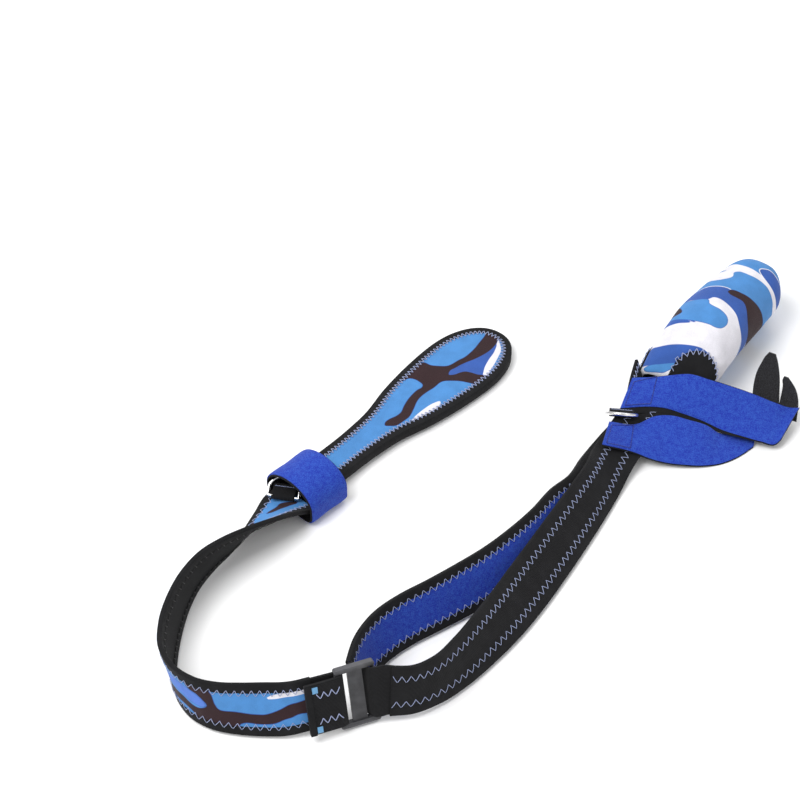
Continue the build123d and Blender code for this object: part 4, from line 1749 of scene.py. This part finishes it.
STRAP_PRINT = PrintedKnit("strap_camouflage", (
    PrintLayer(Ink.PALE, (
        ((11, 362), (14, 366), (16, 375), (18, 385), (19, 402), (13, 402), (12, 389), (12, 378), (11, 370)),
        ((-18, 226), (-12, 214), (-8, 196), (-13, 190), (-19, 204)),
        ((18, 96), (12, 110), (8, 128), (13, 134), (19, 118)),
        ((-18, 88), (-10, 82), (-6, 74), (-12, 72), (-19, 78)),
    )),
    PrintLayer(Ink.MAROON, (
        ((17, 290), (17, 309), (13, 314), (8, 316), (3, 318), (-2, 323), (-2, 335), (-3, 343), (-4, 352),
         (-4, 360), (-2, 367), (1, 374), (4, 381), (5, 388), (5, 402), (-7, 402), (-6, 389), (-8, 382),
         (-9, 376), (-12, 369), (-13, 362), (-13, 354), (-12, 346), (-14, 340), (-20, 337), (-22, 331),
         (-20, 315), (-17, 305), (-12, 295), (-12, 281), (-15, 270), (-13, 256), (-8, 256), (-4, 262),
         (-2, 283), (-6, 300), (-4, 308), (1, 311), (9, 302), (12, 293)),
        ((-20, 232), (-8, 226), (4, 212), (12, 196), (20, 188), (20, 202), (12, 214), (2, 228),
         (-6, 240), (-20, 246)),
        ((20, 168), (8, 160), (-2, 148), (-6, 132), (-12, 118), (-20, 112), (-20, 126), (-14, 138),
         (-8, 154), (2, 168), (14, 180), (20, 182)),
        ((-20, 96), (-9, 92), (2, 88), (9, 80), (16, 72), (20, 76), (15, 84), (8, 96), (-4, 103),
         (-20, 108)),
        ((20, 52), (10, 56), (0, 58), (-8, 55), (-14, 50), (-20, 50), (-20, 60), (-12, 66), (0, 70),
         (12, 66), (20, 62)),
        ((6, 6), (1, 12), (-4, 18), (-4, 25), (-8, 36), (-2, 34), (2, 27), (5, 20), (8, 10)),
    ), 0.5, Ink.MID_BLUE),
    PrintLayer(Ink.PERIWINKLE, (
        ((0, 253), (8, 264), (12, 275), (12, 285), (10, 295), (7, 303), (2, 309), (-2, 309), (-3, 304),
         (-2, 295), (1, 283), (1, 271), (-4, 258)),
        ((6, 236), (14, 226), (17, 214), (11, 220), (4, 230)),
        ((-14, 176), (-6, 184), (2, 186), (-2, 176), (-10, 168)),
        ((4, 118), (9, 104), (5, 98), (-2, 106), (-1, 116)),
    ), 0.4, Ink.MID_BLUE),
))
COVER_PRINT = PrintedKnit("cover_camouflage", (
    PrintLayer(Ink.PALE, (
        ((-5, 284), (-12, 279), (-18, 273), (-22, 264), (-26, 253), (-29, 243), (-32, 234), (-31, 227),
         (-22, 239), (-17, 251), (-13, 262), (-9, 273)),
        ((-21, 174), (-24, 171), (-26, 164), (-28, 156), (-29, 146), (-28, 137), (-26, 128), (-22, 122),
         (-19, 131), (-17, 142), (-17, 154), (-18, 166)),
        ((14, 36), (6, 30), (8, 18), (16, 12), (18, 24)),
    )),
    PrintLayer(Ink.MID_BLUE, (
        ((1, 214), (-1, 221), (-4, 235), (-8, 248), (-10, 261), (-8, 277), (-14, 266), (-18, 252),
         (-22, 241),
         (-28, 229), (-19, 228), (-12, 224), (-8, 217), (-4, 210)),
    ), 0.7, Ink.MID_BLUE),
    PrintLayer(Ink.MAROON, (
        ((27, 172), (36, 184), (36, 197), (28, 207), (20, 208), (12, 213), (7, 218), (5, 224), (4, 232),
         (2, 240), (2, 248), (3, 257), (6, 269), (8, 278), (12, 292), (1, 292), (-7, 280), (-9, 273),
         (-10, 266),
         (-10, 259), (-9, 251), (-7, 243), (-4, 235), (-2, 228), (-1, 221), (0, 215), (-3, 209), (-7, 213),
         (-9, 219), (-12, 224), (-18, 227), (-24, 229), (-30, 233), (-38, 230), (-38, 218), (-30, 216),
         (-24, 213), (-17, 209), (-11, 204), (-6, 199), (-4, 194), (-4, 185), (-3, 177), (-3, 167),
         (-5, 158),
         (-9, 149), (-13, 138), (-13, 130), (-12, 120), (-8, 115), (-4, 112), (-1, 116), (-1, 122),
         (-3, 130),
         (-3, 137), (0, 144), (3, 153), (5, 162), (6, 171), (5, 177), (7, 181), (11, 182), (18, 182),
         (24, 179)),
        ((-18, 20), (-8, 14), (0, 18), (6, 30), (2, 40), (-4, 30), (-12, 26)),
    ), 0.4, Ink.MID_BLUE),
))


@dataclass
class Studio:
    """Floor, lights and camera."""

    target: Point = (-0.090, 0.1334, 0.001)
    distance: float = 2.2
    elevation: float = 43.0
    lens: float = 100.0

    def build(self) -> None:
        """Sets the floor, the lights and the camera."""
        self.lay_floor()
        self.hang_lights()
        self.set_camera()

    def lay_floor(self) -> None:
        """A wide pale floor with the faintest mottling."""
        size = 6.0
        mesh = bpy.data.meshes.new("floor")
        corners = [(-size, -size, 0), (size, -size, 0), (size, size, 0), (-size, size, 0)]
        mesh.from_pydata(corners, [], [(0, 1, 2, 3)])
        floor = bpy.data.objects.new("floor", mesh)
        bpy.context.scene.collection.objects.link(floor)
        floor.location.z = float(CAD_BOX[0][2]) - 0.0004
        g = Graph("pale_floor")
        colour = g.mix(g.ramp(g.noise(60, 2.0), 0.3, 0.7), (0.90, 0.90, 0.905, 1), (0.93, 0.93, 0.93, 1))
        mesh.materials.append(g.surface(colour, 0.75, gloss=0.2))

    def hang_lights(self) -> None:
        """A large key over the left shoulder, a fill and a rim, in a white room."""
        lights = (
            ("key", (-1.2, -0.5, 2.1), 1.5, 54.0),
            ("fill", (1.6, -1.2, 1.6), 2.4, 12.0),
            ("rim", (0.4, 1.9, 1.8), 1.8, 18.0),
        )
        for name, place, size, power in lights:
            lamp = bpy.data.lights.new(name, "AREA")
            lamp.size = size
            lamp.energy = power
            piece = bpy.data.objects.new(name, lamp)
            bpy.context.scene.collection.objects.link(piece)
            piece.location = place
            aim = np.array(self.target) - np.array(place)
            piece.rotation_euler = self.facing(aim)
        world = bpy.data.worlds.new("room")
        bpy.context.scene.world = world
        world.use_nodes = True
        backdrop = world.node_tree.nodes["Background"]
        backdrop.inputs[0].default_value = (1.0, 1.0, 1.0, 1)
        backdrop.inputs[1].default_value = 0.62

    @staticmethod
    def facing(aim: Array) -> tuple[float, float, float]:
        """Euler angles that turn a lamp's or camera's -Z along a direction."""
        flat = math.hypot(aim[0], aim[1])
        return (math.atan2(flat, -aim[2]), 0.0, math.atan2(-aim[0], aim[1]))

    def set_camera(self) -> None:
        """Looks along +Y and down at the working point."""
        camera = bpy.data.cameras.new("camera")
        camera.lens = self.lens
        camera.sensor_width = 36.0
        piece = bpy.data.objects.new("camera", camera)
        bpy.context.scene.collection.objects.link(piece)
        lift = math.radians(self.elevation)
        x, y, z = self.target
        piece.location = (x, y - self.distance * math.cos(lift), z + self.distance * math.sin(lift))
        piece.rotation_euler = (math.radians(90) - lift, 0.0, 0.0)
        bpy.context.scene.camera = piece
        bpy.context.scene.view_settings.view_transform = "Standard"


def dress_rings(finishes: Finishes) -> None:
    """Plates the two D-rings."""
    for node in ("cup_d_ring", "tip_d_ring"):
        refinish(node, finishes.of(NICKEL))


def main() -> None:
    """Builds every sub-assembly in order."""
    logging.basicConfig(level=logging.INFO, format="%(message)s")
    finishes = Finishes()
    Ribbon("camo_strap", CAMO_ROUTE, STRAP_PRINT, INNER_KNIT, ("camo_strap_face",), ("camo_strap_back",),
           "camo_strap_bindings", "camo_neoprene", "black_webbing", outer_row=8.8, zigzag_reach=6.0,
           zigzag_pitch=7.4, inner_thread=DARK_THREAD).build(finishes)
    Ribbon("front_strap", FRONT_ROUTE, WEBBING, PILE, ("front_strap_webbing",), ("front_strap_lining",),
           "front_strap_bindings", "black_webbing", "blue_loop_pile").build(finishes)
    Ribbon("far_strap", FAR_ROUTE, PILE, WEBBING, ("far_strap_lining",), ("far_strap_webbing",),
           "far_strap_bindings", "blue_loop_pile", "black_webbing", outer_row=9.0).build(finishes)
    RodWrap("upper_wrap", UPPER_WRAP, UPPER_TAIL, skirt=6.0).build(finishes)
    RodWrap("lower_wrap", LOWER_WRAP, LOWER_TAIL).build(finishes)
    MouthEnd("front_strap_end", FRONT_END).build(finishes)
    MouthEnd("far_strap_end", FAR_END).build(finishes)
    ButtCup(CUP_PRINT).build(finishes)
    TipCover(COVER_PRINT).build(finishes)
    TipWrap().build(finishes)
    BuckleEnd().build(finishes, leaning(FAR_ROUTE)[:2], leaning(FRONT_ROUTE)[:2])
    RingTab("cup_ring_tab", (214, -48.5, 26.8), (0.99, -0.12, 0), (0.02, 0.15, 0.99), 24, 7).build(finishes)
    RingTab("tip_ring_tab", (-109.4, -151, 17), (0.98, -0.18, 0), (-0.03, -0.17, 0.98), 22,
            14).build(finishes)
    dress_rings(finishes)
    Studio().build()


if __name__ == "__main__":
    main()
